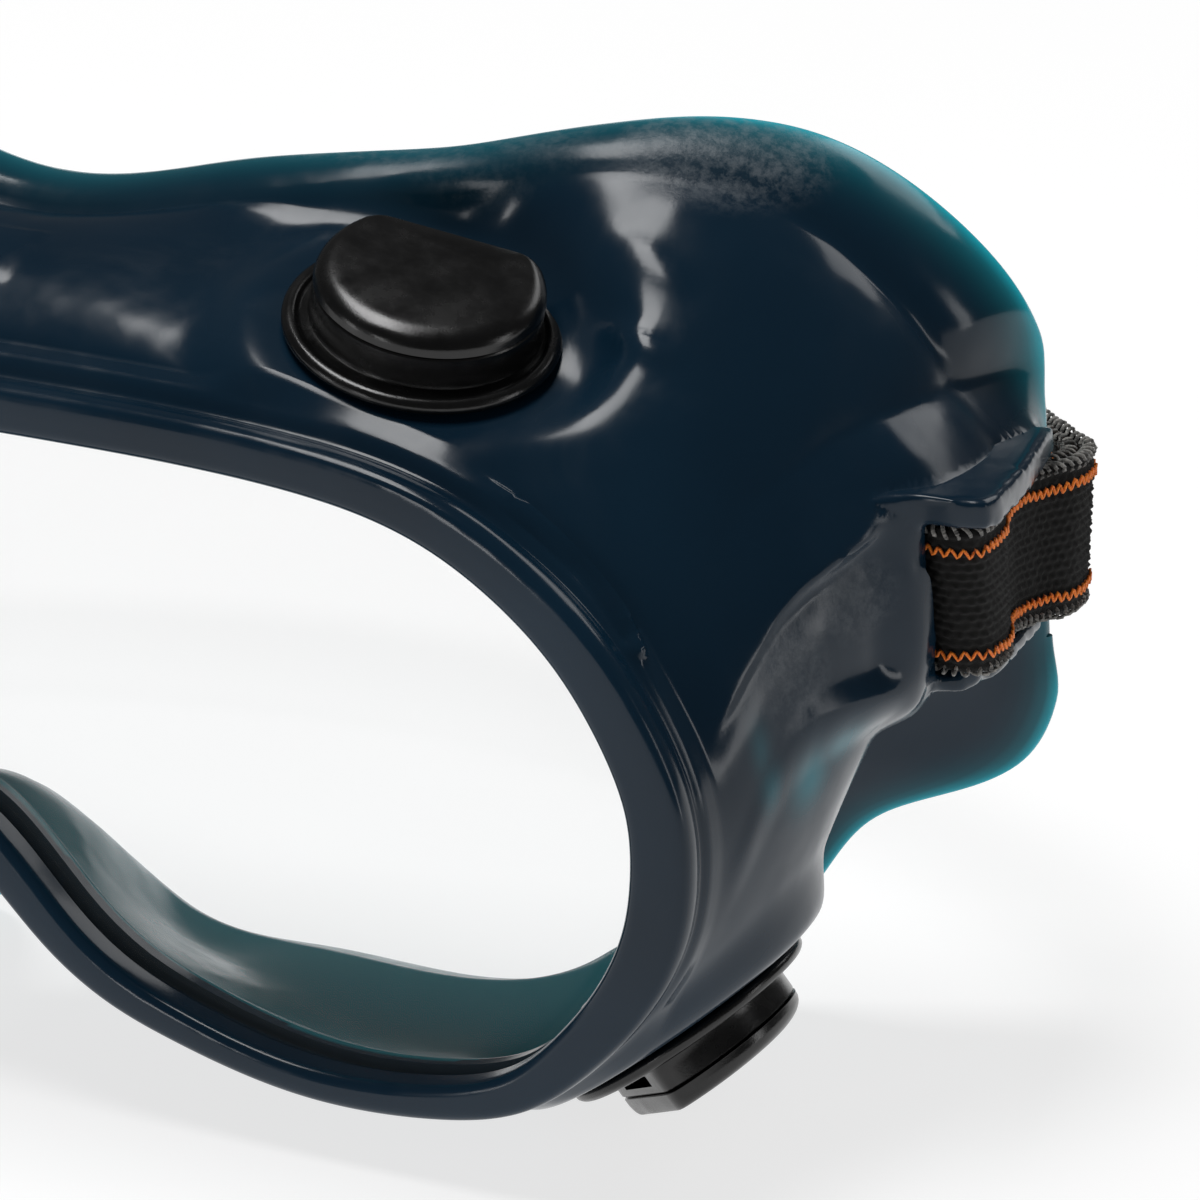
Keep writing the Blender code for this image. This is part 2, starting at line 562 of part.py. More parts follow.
# ---------------------------------------------------------------- assembly
def build():
    for obj in list(bpy.data.objects):
        bpy.data.objects.remove(obj, do_unlink=True)

    pvc = material("navy_pvc", (0.010, 0.028, 0.055), 0.22, coat=0.3)
    black = material("black_plastic", (0.012, 0.012, 0.013), 0.32)
    clear = material("clear_polycarbonate", (0.95, 0.97, 0.97), 0.03, alpha=0.15)
    webbing = material("black_elastic", (0.014, 0.014, 0.014), 0.85)

    # body
    rings = body_rings(COLUMNS, WALL_ROWS)
    columns = 2 * COLUMNS
    body = make("goggle_body", outward(mesh_from("goggle_body", np.concatenate(rings), rings_to_faces(rings, columns))), pvc)
    bosses, cheeks, seats, undersides, holes, posts = [], [], [], [], [], []
    for which in VENTS:
        for side in (1.0, -1.0):
            frame = vent_frame(which, side)
            bosses.append(cylinder(frame, VENT_DISC_R + 0.4, -WALL + 0.1, -0.06, 40))
            seats.append(cylinder(frame, VENT_DISC_R + 0.6, 0.02, 12.0, 40))
            undersides.append(cylinder(frame, 10.0, -7.5, -WALL - 0.3, 32))
            holes.append(cylinder(frame, VENT_NECK_R + GAP, -9.0, 1.0, 32))
    for side in (1.0, -1.0):
        hood, shelf, cheek = lug_blocks(side)
        bosses += [hood, shelf]
        cheeks.append(cheek)
        seats += lug_pocket(side)
        posts += lug_post(side)
    for name, shells, operation in (
        ("bosses_and_shelves", bosses, "UNION"), ("lug_cheeks", cheeks, "UNION"), ("seats_and_pockets", seats, "DIFFERENCE"),
        ("vent_undersides", undersides, "DIFFERENCE"), ("vent_holes", holes, "DIFFERENCE"), ("strap_bars", posts, "UNION"),
    ):
        cut(body, make(name, joined(name, shells), guide=True), operation)

    # lens
    t = column_stations(COLUMNS)
    width = band_of(t)[:, 0]
    edge = np.full(len(t), -GROOVE_DEPTH - GAP)
    y0 = GROOVE_FRONT + GAP
    lens_rings = [mirrored(r) for r in (
        offset_ring(t, -width - 1.0, y0 - LENS_FIELD),
        offset_ring(t, -width - 1.0, y0),
        offset_ring(t, edge, y0),
        offset_ring(t, edge, y0 + LENS_THICK),
    )]
    make("lens", outward(mesh_from("lens", np.concatenate(lens_rings), rings_to_faces(lens_rings, columns, False, True))), clear)

    # vents
    for which in VENTS:
        for side, label in ((1.0, "right"), (-1.0, "left")):
            frame = vent_frame(which, side)
            hood = (frame[0] + frame[1][:, 0] * HOOD_SHIFT, frame[1])
            base = make(f"vent_base_{which}_{label}", outward(mesh_from(
                "vent_base", *turned(VENT_BASE_PROFILE, frame, VENT_SEGMENTS))), black)
            neck = loft([(d_outline(VENT_HOOD_R, VENT_HOOD_FLAT, 1.2), h) for h in (0.9, VENT_PARTING)], hood)
            bore = loft([(d_outline(VENT_BORE_R, VENT_BORE_FLAT, 0.8, 14), h) for h in (-7.0, 6.0)], hood)
            outlet = box(hood, (1.0, -4.2, 2.3), (9.0, 4.2, 3.4))
            cut(base, make(f"neck_{which}_{label}", joined("neck", [neck]), guide=True), "UNION")
            cut(base, make(f"bore_{which}_{label}", joined("bore", [bore]), guide=True), "DIFFERENCE")
            cut(base, make(f"outlet_{which}_{label}", joined("outlet", [outlet]), guide=True), "DIFFERENCE")
            sections = [(d_outline(VENT_HOOD_R - inset, VENT_HOOD_FLAT - back, 1.2, shift=shift), h)
                        for h, inset, shift, back in LID_STEPS]
            lid = make(f"vent_lid_{which}_{label}", outward(mesh_from("vent_lid", *loft(sections, hood))), black)
            hollow = loft([(d_outline(VENT_BORE_R, VENT_BORE_FLAT, 0.8, 14), h) for h in (3.0, 5.3)], hood)
            cut(lid, make(f"lid_hollow_{which}_{label}", joined("lid_hollow", [hollow]), guide=True), "DIFFERENCE")

    # strap: the loops round the bars stay with the body, the band swings
    inner_cut = make("seam_inside", joined("seam_inside", [seam_cylinder(SEAM_R - GAP / 2)]), guide=True)
    outer_cut = make("seam_outside", joined("seam_outside", [seam_cylinder(SEAM_R + GAP / 2)]), guide=True)
    for side, label in ((1.0, "right"), (-1.0, "left")):
        at = lug_frame(side, ease=True)
        path = [(x, y, LUG_PIVOT_Z) for x, y in strap_loop_path(60)]
        points, faces = ribbon(path, upright(len(path), 0.0), STRAP_WIDTH / 2, STRAP_THICK / 2)
        loop = make(f"strap_loop_{label}", outward(mesh_from("strap_loop", [at(*q) for q in points], faces)), webbing)
        cut(loop, inner_cut, "INTERSECT")
    for name, radius, a0, a1, count in (
        ("headband", BAND_R, math.radians(-47.0), math.radians(47.0), 41),
        ("strap_return_left", BAND_R - LAYER, math.radians(-47.0), math.radians(-36.0), 8),
        ("strap_return_right", BAND_R - LAYER, math.radians(3.0), math.radians(47.0), 20),
    ):
        path = arc_path(radius, a0, a1, count)
        piece = make(name, outward(mesh_from(name, *ribbon(
            path, upright(len(path), BAND_TILT), STRAP_WIDTH / 2, STRAP_THICK / 2))), webbing)
        cut(piece, outer_cut, "DIFFERENCE")

    # slider: a sleeve with two windows that encloses both layers and runs along their arc
    at = band_frame()
    mid = BAND_R - LAYER / 2
    inner_half = LAYER / 2 + STRAP_THICK / 2 + GAP
    outer_half = inner_half + 1.5
    half_len = 7.0 / mid
    rings = []
    for a in np.linspace(SLIDER_ANGLE - half_len, SLIDER_ANGLE + half_len, 5):
        row = []
        for half_r, half_z in ((outer_half, STRAP_WIDTH / 2 + 2.3), (inner_half, STRAP_WIDTH / 2 + 0.4)):
            for sr, sz in ((-1, -1), (1, -1), (1, 1), (-1, 1)):
                row.append(at(*arc_point(mid + sr * half_r, a), LUG_PIVOT_Z + sz * half_z))
        rings.append(row)
    points = [p for row in rings for p in row]
    faces = []
    for i in range(len(rings) - 1):
        for base in (0, 4):
            for k in range(4):
                m = (k + 1) % 4
                quad = (i * 8 + base + k, i * 8 + base + m, (i + 1) * 8 + base + m, (i + 1) * 8 + base + k)
                faces.append(quad if base == 0 else quad[::-1])
    for i, flip in ((0, True), (len(rings) - 1, False)):
        for k in range(4):
            m = (k + 1) % 4
            quad = (i * 8 + k, i * 8 + m, i * 8 + 4 + m, i * 8 + 4 + k)
            faces.append(quad if flip else quad[::-1])
    slider = make("strap_slider", outward(mesh_from("strap_slider", points, faces)), black)
    windows = []
    for offset in (-2.9, 2.9):
        a = SLIDER_ANGLE + offset / mid
        rad = np.array([math.sin(a), math.cos(a), 0.0])
        tan = np.array([math.cos(a), -math.sin(a), 0.0])
        middle = np.array([*arc_point(mid + outer_half, a), LUG_PIVOT_Z])
        pts = [middle + tan * sx * 1.9 + rad * sy * 2.0 + np.array([0, 0, 1.0]) * sz * (STRAP_WIDTH / 2 - 0.6)
               for sz in (-1, 1) for sx, sy in ((-1, -1), (1, -1), (1, 1), (-1, 1))]
        quads = [(0, 1, 5, 4), (1, 2, 6, 5), (2, 3, 7, 6), (3, 0, 4, 7), (3, 2, 1, 0), (4, 5, 6, 7)]
        windows.append(([at(*p) for p in pts], quads))
    cut(slider, make("slider_windows", joined("slider_windows", windows), guide=True), "DIFFERENCE")


build()
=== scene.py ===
"""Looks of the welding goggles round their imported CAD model: finer surfaces of the same shapes, the knitted elastic
with its threads, materials, a plain floor, soft studio light and the camera."""
import json
import math

import bmesh
import bpy
import numpy as np
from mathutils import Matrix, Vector
from mathutils.bvhtree import BVHTree
from mathutils.kdtree import KDTree

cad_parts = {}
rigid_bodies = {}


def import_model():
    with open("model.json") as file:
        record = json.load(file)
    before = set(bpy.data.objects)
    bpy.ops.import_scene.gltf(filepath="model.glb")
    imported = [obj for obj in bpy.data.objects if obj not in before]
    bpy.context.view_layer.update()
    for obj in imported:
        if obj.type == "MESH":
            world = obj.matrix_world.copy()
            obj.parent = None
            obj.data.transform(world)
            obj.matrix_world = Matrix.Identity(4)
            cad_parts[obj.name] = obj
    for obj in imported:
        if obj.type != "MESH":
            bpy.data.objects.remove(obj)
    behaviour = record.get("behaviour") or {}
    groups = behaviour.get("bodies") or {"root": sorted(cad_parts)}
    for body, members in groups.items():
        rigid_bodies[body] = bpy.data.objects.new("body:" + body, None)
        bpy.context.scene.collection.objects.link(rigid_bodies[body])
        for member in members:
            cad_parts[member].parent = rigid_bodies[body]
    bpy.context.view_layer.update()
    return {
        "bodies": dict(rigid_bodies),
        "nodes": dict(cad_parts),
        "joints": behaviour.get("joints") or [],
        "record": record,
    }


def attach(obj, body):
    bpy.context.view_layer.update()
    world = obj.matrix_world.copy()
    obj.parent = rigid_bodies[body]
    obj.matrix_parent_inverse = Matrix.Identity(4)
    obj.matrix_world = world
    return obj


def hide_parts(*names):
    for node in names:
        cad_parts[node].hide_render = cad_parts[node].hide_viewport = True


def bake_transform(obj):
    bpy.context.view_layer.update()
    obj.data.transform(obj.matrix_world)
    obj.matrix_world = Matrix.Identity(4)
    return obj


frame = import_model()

MM = 0.001

# ---------------------------------------------------------------- driving dimensions (mm)
GAP = 0.3                     # clearance between pieces that touch
GROUND_Z = -58.27             # underside of vents and cheek flanges, measured from the lens datum
ORIGIN_Y = 49.53              # middle of the object's depth, measured from the bezel front

WALL = 2.2                    # body wall
FLANGE_EDGE = 1.2             # face-seal flange thickness at its edge
BEZEL_SIDE = 3.0              # depth of the bezel's outer side wall
BEZEL_ROUND = 1.1             # rounding of the bezel's outer front edge
GROOVE_FRONT, GROOVE_BACK = 2.9, 5.5     # lens groove in the depth direction
GROOVE_DEPTH = 1.9            # distance of the groove's floor from the bezel outline
REAR_LIP_BACK = 7.2
FOOT_Y = 6.4                  # where the wall leaves the bezel

LENS_THICK = 2.0
LENS_FIELD = 0.4              # height of the lens's raised central field

VENT_DISC_R, VENT_NECK_R = 12.2, 8.0
VENT_HOOD_R, VENT_HOOD_FLAT = 10.1, 6.4   # D-shaped hood: radius, distance of its flat from the axis
VENT_PARTING, VENT_TOP = 4.2, 6.4        # where the lid meets the base, and the hood's top
VENT_BORE_R, VENT_BORE_FLAT = 6.4, 5.0
HOOD_SHIFT = 1.0                         # the hood sits this far off the disc's axis, towards its flat

STRAP_WIDTH, STRAP_THICK = 14.5, 1.3
LUG_PIVOT_Y, LUG_PIVOT_Z = 36.0, -9.2    # middle of the strap bars
LUG_TILT = math.radians(-3.5)            # fall of the strap towards the back
LUG_LEAN = 0.27                          # the bars lean, tops forward, per mm of height
POST_X, POST_Y, POST_R = 86.4, 35.8, 1.5
SEAM_R = 30.0                 # the headband's swing seam, a cylinder about the bar line
BAND_R, BAND_CY = 120.5, -22.5           # headband arc behind the head side, and its centre
SLIDER_ANGLE = math.radians(15.0)

# Control stations of the body, from the top middle round one side to the nose arch.
# t, bezel outline (x, z), front fold of the wall (x, y, z), middle of the wall, crease, flange edge
STATIONS = (
    (0.000, (0.0, 9.3), (0.0, 10.3, 14.6), (0.0, 18.0, 16.9), (0.0, 26.3, 15.6), (0.0, 34.0, 16.9)),
    (0.100, (20.0, 9.4), (20.0, 11.0, 14.2), (19.0, 20.0, 17.0), (17.6, 27.4, 18.7), (18.0, 35.5, 20.4)),
    (0.200, (40.3, 8.6), (40.5, 13.0, 12.9), (39.5, 23.5, 15.6), (37.5, 32.6, 21.7), (36.5, 39.2, 23.2)),
    (0.300, (57.0, 4.2), (58.6, 13.5, 9.5), (58.0, 24.0, 16.6), (56.0, 36.8, 24.3), (56.7, 45.3, 27.3)),
    (0.360, (66.0, -2.0), (68.6, 14.0, 4.0), (69.8, 26.0, 13.0), (66.3, 40.4, 21.9), (68.0, 49.7, 25.5)),
    (0.420, (72.3, -9.6), (75.3, 14.0, -4.5), (78.0, 28.0, 5.0), (75.2, 43.2, 15.2), (79.0, 54.6, 17.0)),
    (0.480, (76.3, -18.0), (78.8, 14.0, -14.0), (82.0, 28.0, -6.0), (81.2, 45.6, 4.5), (85.7, 57.9, 3.5)),
    (0.530, (77.1, -25.0), (79.3, 14.0, -22.5), (82.0, 28.0, -17.0), (81.2, 45.0, -9.0), (85.9, 57.8, -11.0)),
    (0.580, (76.1, -31.5), (78.3, 14.0, -30.0), (79.8, 26.0, -26.0), (76.5, 43.6, -20.5), (86.9, 58.9, -21.5)),
    (0.630, (73.1, -37.8), (75.9, 14.0, -37.5), (77.3, 25.5, -34.0), (69.2, 42.4, -28.0), (84.0, 57.0, -34.0)),
    (0.680, (68.2, -43.9), (71.0, 14.0, -45.0), (73.5, 25.0, -42.5), (64.2, 41.0, -36.0), (72.4, 51.6, -39.4)),
    (0.730, (61.5, -49.4), (63.5, 14.0, -51.0), (65.5, 24.5, -50.0), (59.5, 38.6, -45.0), (65.6, 48.6, -48.6)),
    (0.780, (53.0, -52.0), (54.5, 14.0, -54.3), (55.5, 24.0, -55.0), (51.5, 36.2, -53.8), (54.5, 42.6, -55.6)),
    (0.840, (40.0, -52.6), (40.3, 14.0, -54.8), (40.5, 21.0, -55.9), (39.0, 32.0, -56.4), (40.0, 36.8, -57.9)),
    (0.900, (26.0, -49.7), (25.2, 14.0, -52.3), (24.5, 20.5, -54.2), (24.0, 31.2, -56.0), (24.0, 36.0, -57.8)),
    (0.950, (13.0, -42.6), (12.3, 13.0, -45.5), (11.8, 20.0, -49.3), (11.4, 28.8, -53.1), (12.2, 33.8, -57.3)),
    (0.975, (6.0, -35.9), (6.0, 11.5, -38.2), (6.0, 18.5, -41.6), (6.0, 24.6, -46.2), (6.6, 30.4, -51.6)),
    (1.000, (0.0, -33.9), (0.0, 9.8, -35.0), (0.0, 14.2, -36.2), (0.0, 18.5, -38.4), (0.0, 23.0, -41.0)),
)
# t, width of the bezel's front face, how far the wall's foot stands out from the bezel outline
BAND = (
    (0.00, 4.4, 1.9), (0.10, 4.4, 1.9), (0.20, 4.4, 1.8), (0.28, 4.6, 1.6), (0.34, 4.9, 1.1), (0.40, 5.2, 0.4),
    (0.48, 5.6, 0.3), (0.56, 5.7, 0.3), (0.64, 5.0, 0.3), (0.72, 4.0, 0.3), (0.80, 3.3, 0.3), (0.88, 3.3, 0.3),
    (0.94, 4.0, 0.3), (1.00, 4.6, 0.3),
)
# Vent seats on the right-hand side: centre, outward axis, direction that the hood's flat face looks
VENTS = {
    "top": ((43.0, 18.04, 13.36), (0.23, -0.19, 0.95), (-0.14, 0.96, 0.24)),
    "bottom": ((66.3, 22.0, -47.4), (0.62, 0.04, -0.78), (-0.50, -0.76, -0.41)),
}

COLUMNS = 38                  # body columns on each side
WALL_ROWS = 6
VENT_SEGMENTS = 24


# ---------------------------------------------------------------- curves
def cubic_through(knots, values, odd):
    """C2 cubic through values at knots in 0..1, mirrored past both ends; odd columns change sign there."""
    t = np.array(knots, float)
    v = np.array(values, float)
    flip = np.ones(v.shape[1])
    flip[list(odd)] = -1.0
    k = 5
    t = np.concatenate([-t[k:0:-1], t, 2.0 - t[-2:-k - 2:-1]])
    v = np.concatenate([v[k:0:-1] * flip, v, v[-2:-k - 2:-1] * flip])
    n = len(t)
    h = np.diff(t)
    a = np.zeros((n, n))
    b = np.zeros_like(v)
    a[0, 0] = a[-1, -1] = 1.0
    for i in range(1, n - 1):
        a[i, i - 1], a[i, i], a[i, i + 1] = h[i - 1], 2.0 * (h[i - 1] + h[i]), h[i]
        b[i] = 6.0 * ((v[i + 1] - v[i]) / h[i] - (v[i] - v[i - 1]) / h[i - 1])
    m = np.linalg.solve(a, b)

    def at(s):
        s = np.atleast_1d(np.asarray(s, float))
        i = np.clip(np.searchsorted(t, s, side="right") - 1, 0, n - 2)
        w, p, q = h[i][:, None], (t[i + 1] - s)[:, None], (s - t[i])[:, None]
        return (m[i] * p**3 + m[i + 1] * q**3) / (6 * w) + (v[i] / w - m[i] * w / 6) * p + (
            v[i + 1] / w - m[i + 1] * w / 6
        ) * q

    return at


T_KNOTS = [row[0] for row in STATIONS]
bezel_outline = cubic_through(T_KNOTS, [row[1] for row in STATIONS], (0,))
ring_fold = cubic_through(T_KNOTS, [row[2] for row in STATIONS], (0,))
ring_mid = cubic_through(T_KNOTS, [row[3] for row in STATIONS], (0,))
ring_crease = cubic_through(T_KNOTS, [row[4] for row in STATIONS], (0,))
ring_flange = cubic_through(T_KNOTS, [row[5] for row in STATIONS], (0,))
band_of = cubic_through([row[0] for row in BAND], [row[1:] for row in BAND], ())


def outline_frame(t):
    """Point of the bezel outline and the outward normal in the lens plane."""
    p = bezel_outline(t)
    d = bezel_outline(np.asarray(t) + 1e-4) - bezel_outline(np.asarray(t) - 1e-4)
    d /= np.linalg.norm(d, axis=1, keepdims=True)
    return p, np.stack([-d[:, 1], d[:, 0]], 1)


def column_stations(columns):
    """Stations of the body's columns, closer together round the cheek corner and the nose arch."""
    return np.interp(np.linspace(0.0, 1.0, columns + 1), (0.0, 0.24, 0.5, 0.8, 1.0), (0.0, 0.33, 0.58, 0.86, 1.0))


def offset_ring(t, out, y):
    """Ring parallel to the bezel outline, out mm outside it, at depth y."""
    p, n = outline_frame(t)
    q = p + n * np.reshape(out, (-1, 1))
    return np.stack([q[:, 0], np.full(len(q), 0.0) + y, q[:, 1]], 1)


def unit(v):
    v = np.asarray(v, float)
    return v / np.linalg.norm(v)


def vent_frame(which, side):
    """Local frame of a vent: columns are the hood's flat direction, the cross direction and the axis."""
    centre, axis, flat = VENTS[which]
    m = np.array([side, 1.0, 1.0])
    c, w = np.array(centre) * m, unit(axis) * m
    u = np.array(flat) * m
    u = unit(u - w * (u @ w))
    v = np.cross(w, u)
    return c, np.stack([u, v, w], 1)


def smooth(x):
    x = np.clip(x, 0.0, 1.0)
    return x * x * (3.0 - 2.0 * x)


def flatten_on_vents(p):
    """Eases the wall onto the flat seat under each vent."""
    p = p.copy()
    for which in VENTS:
        for side in (1.0, -1.0):
            c, f = vent_frame(which, side)
            q = (p - c) @ f
            r = np.hypot(q[:, 0], q[:, 1])
            k = (1.0 - smooth((r - 13.2) / 5.0)) * (np.abs(q[:, 2]) < 9.0)
            p -= (k * q[:, 2])[:, None] * f[:, 2]
    return p


def wall_rows(t, rows):
    """Rows of the outer wall from the bezel's foot over the fold to the crease."""
    foot = offset_ring(t, band_of(t)[:, 1], FOOT_Y)
    a, b, c = ring_fold(t), ring_mid(t), ring_crease(t)
    knots = np.array([0.0, 0.26, 0.60, 1.0])
    out = []
    for s in np.linspace(0.0, 1.0, rows):
        w = []
        for i in range(4):
            others = [knots[j] for j in range(4) if j != i]
            w.append(np.prod([(s - o) / (knots[i] - o) for o in others]))
        out.append(foot * w[0] + a * w[1] + b * w[2] + c * w[3])
    return out


def grid_normals(grid):
    """Outward normals of a grid of rows x columns that closes along its columns."""
    along = np.roll(grid, -1, 1) - np.roll(grid, 1, 1)
    down = np.gradient(grid, axis=0)
    n = np.cross(along, down)
    n /= np.linalg.norm(n, axis=2, keepdims=True)
    return n


def mirrored(ring_half):
    """Closed ring from the half that runs from the top middle to the nose middle."""
    left = ring_half[-2:0:-1] * np.array([-1.0, 1.0, 1.0])
    return np.concatenate([ring_half, left])


# ---------------------------------------------------------------- Blender helpers
def place(p):
    """Construction millimetres to world metres: origin under the middle of the object."""
    p = np.asarray(p, float)
    return (p - np.array([0.0, ORIGIN_Y, GROUND_Z])) * MM


def mesh_from(name, points, faces):
    mesh = bpy.data.meshes.new(name)
    mesh.from_pydata([tuple(q) for q in place(points)], [], faces)
    mesh.validate()
    return mesh


def rings_to_faces(rings, columns, closed_loop=True, caps=False):
    faces = []
    n = len(rings)
    last = n if closed_loop else n - 1
    for i in range(last):
        j = (i + 1) % n
        for k in range(columns):
            m = (k + 1) % columns
            faces.append((i * columns + k, i * columns + m, j * columns + m, j * columns + k))
    if caps:
        faces.append(tuple(range(columns)))
        faces.append(tuple((n - 1) * columns + k for k in reversed(range(columns))))
    return faces


def outward(mesh):
    bm = bmesh.new()
    bm.from_mesh(mesh)
    bmesh.ops.recalc_face_normals(bm, faces=bm.faces)
    if bm.calc_volume(signed=True) < 0:
        bmesh.ops.reverse_faces(bm, faces=bm.faces)
    bm.to_mesh(mesh)
    bm.free()
    return mesh


def turned(profile, frame, segments):
    """Points and faces of a closed profile of (radius, height) turned about the frame's third axis."""
    c, f = frame
    points = []
    for k in range(segments):
        a = 2 * math.pi * k / segments
        for r, h in profile:
            points.append(c + f @ np.array([r * math.cos(a), r * math.sin(a), h]))
    n = len(profile)
    faces = []
    for k in range(segments):
        m = (k + 1) % segments
        for i in range(n):
            j = (i + 1) % n
            faces.append((k * n + i, k * n + j, m * n + j, m * n + i))
    return points, faces


def cylinder(frame, radius, low, high, segments=48):
    c, f = frame
    points = [
        c + f @ np.array([radius * math.cos(2 * math.pi * k / segments), radius * math.sin(2 * math.pi * k / segments), h])
        for h in (low, high)
        for k in range(segments)
    ]
    faces = [(k, (k + 1) % segments, segments + (k + 1) % segments, segments + k) for k in range(segments)]
    faces += [tuple(reversed(range(segments))), tuple(range(segments, 2 * segments))]
    return points, faces


def prism(plan, low, high, frame=None):
    """Closed prism of a plan polygon [(x, y)...] between two heights, mapped by frame(x, y, z)."""
    n = len(plan)
    points = [np.array([x, y, h]) for h in (low, high) for x, y in plan]
    if frame is not None:
        points = [frame(*p) for p in points]
    faces = [(k, (k + 1) % n, n + (k + 1) % n, n + k) for k in range(n)]
    faces += [tuple(reversed(range(n))), tuple(range(n, 2 * n))]
    return points, faces


def joined(name, pieces):
    """One mesh of several closed shells, each turned outward."""
    bm = bmesh.new()
    for points, faces in pieces:
        mesh = outward(mesh_from("piece", points, faces))
        bm.from_mesh(mesh)
        bpy.data.meshes.remove(mesh)
    mesh = bpy.data.meshes.new(name)
    bm.to_mesh(mesh)
    bm.free()
    return mesh


# ---------------------------------------------------------------- strap lugs
def lug_frame(side, ease=False):
    """Maps lug coordinates to the body: tilted about the bar line, the bars' tops leaning forward.

    With ease, the lean dies out towards the back, as it does along the strap.
    """
    ca, sa = math.cos(LUG_TILT), math.sin(LUG_TILT)

    def at(x, y, z):
        lean = LUG_LEAN * (1.0 - smooth((y - 37.0) / 17.0)) if ease else LUG_LEAN
        dy, dz = y - lean * (z - LUG_PIVOT_Z) - LUG_PIVOT_Y, z - LUG_PIVOT_Z
        return np.array([side * x, LUG_PIVOT_Y + dy * ca - dz * sa, LUG_PIVOT_Z + dy * sa + dz * ca])

    return at


HOOD_LOW, HOOD_HIGH = -1.4, 1.5
SHELF_LOW, SHELF_HIGH = -18.6, -16.9


def lug_blocks(side):
    """Hood above the strap, shelf under it and the cheek that carries both, before the pocket is cut."""
    at = lug_frame(side)
    hood = prism([(77.0, 20.0), (85.0, 31.4), (88.5, 31.6), (91.0, 32.6), (91.2, 35.0), (90.0, 44.0), (87.3, 56.5),
                  (84.8, 54.5), (80.2, 44.0), (79.4, 32.0)], HOOD_LOW, HOOD_HIGH, at)
    shelf = prism([(79.4, 22.0), (84.6, 32.6), (87.0, 33.6), (88.0, 40.0), (86.4, 53.0), (84.8, 54.5), (80.3, 43.0),
                   (80.8, 30.0)], SHELF_LOW, SHELF_HIGH, at)
    cheek = prism([(78.4, 18.0), (84.8, 31.2), (85.3, 32.6), (83.2, 34.6), (83.0, 46.0), (80.4, 43.0), (79.9, 30.0)],
                  SHELF_LOW + 0.2, HOOD_HIGH - 0.2, at)
    return [hood, shelf, cheek]


def lug_pocket(side):
    """Space that the strap's inner leg passes through, between the wall and the bar."""
    at = lug_frame(side)
    return [prism([(82.5, 34.6), (85.3, 32.2), (96.0, 28.5), (96.0, 54.0), (88.5, 54.0), (84.6, 50.0), (82.9, 45.0)],
                  SHELF_HIGH, HOOD_LOW, at),
            prism([(85.6, 54.2), (96.0, 54.2), (96.0, 63.0), (83.6, 63.0), (85.2, 57.6)], -20.5, -1.6, at)]


def lug_post(side):
    at = lug_frame(side)
    plan = [(POST_X + POST_R * math.cos(a), POST_Y + POST_R * math.sin(a)) for a in
            [2 * math.pi * k / 16 for k in range(16)]]
    return [prism(plan, SHELF_HIGH - 1.0, HOOD_LOW + 1.0, at)]


# ---------------------------------------------------------------- strap
def ribbon(path, up, half_width, half_thick, centre_out=0.0):
    """Closed band of rectangular section swept along a path; up gives the width direction at each point."""
    path, up = np.asarray(path, float), np.asarray(up, float)
    tangent = np.gradient(path, axis=0)
    tangent /= np.linalg.norm(tangent, axis=1, keepdims=True)
    side = np.cross(tangent, up)
    side /= np.linalg.norm(side, axis=1, keepdims=True)
    wide = np.cross(side, tangent)
    rings = []
    for sw, st in ((-1, -1), (1, -1), (1, 1), (-1, 1)):
        rings.append(path + wide * sw * half_width + side * (st * half_thick + centre_out))
    rings = np.array(rings)
    n = path.shape[0]
    points = rings.transpose(1, 0, 2).reshape(-1, 3)
    faces = []
    for i in range(n - 1):
        for k in range(4):
            m = (k + 1) % 4
            faces.append((i * 4 + k, i * 4 + m, (i + 1) * 4 + m, (i + 1) * 4 + k))
    faces += [(3, 2, 1, 0), tuple((n - 1) * 4 + k for k in range(4))]
    return points, faces


def smooth_path(points, count):
    """Even samples of a chord-length Catmull-Rom curve through the points."""
    p = np.asarray(points, float)
    p = np.concatenate([[2 * p[0] - p[1]], p, [2 * p[-1] - p[-2]]])
    out = []
    for i in range(1, len(p) - 2):
        for s in np.linspace(0, 1, 24, endpoint=False):
            a, b, c, d = p[i - 1], p[i], p[i + 1], p[i + 2]
            out.append(0.5 * ((2 * b) + (c - a) * s + (2 * a - 5 * b + 4 * c - d) * s**2 + (3 * b - a - 3 * c + d) * s**3))
    out.append(p[-2])
    out = np.array(out)
    length = np.concatenate([[0], np.cumsum(np.linalg.norm(np.diff(out, axis=0), axis=1))])
    at = np.linspace(0, length[-1], count)
    return np.stack([np.interp(at, length, out[:, k]) for k in range(out.shape[1])], 1)


BAND_TILT = math.radians(-7.0)
SEAM_LIFT = SEAM_R * (math.sin(LUG_TILT) - math.sin(BAND_TILT))


def band_frame(side=1.0):
    """Headband plane: it falls slightly towards the back and meets the loops at the seam."""
    ca, sa = math.cos(BAND_TILT), math.sin(BAND_TILT)

    def at(x, y, z):
        dy, dz = y - LUG_PIVOT_Y, z - LUG_PIVOT_Z
        return np.array([side * x, LUG_PIVOT_Y + dy * ca - dz * sa, LUG_PIVOT_Z + SEAM_LIFT + dy * sa + dz * ca])

    return at


LAYER = STRAP_THICK + GAP     # spacing of two strap layers


def arc_point(radius, angle):
    return (radius * math.sin(angle), BAND_CY + radius * math.cos(angle))


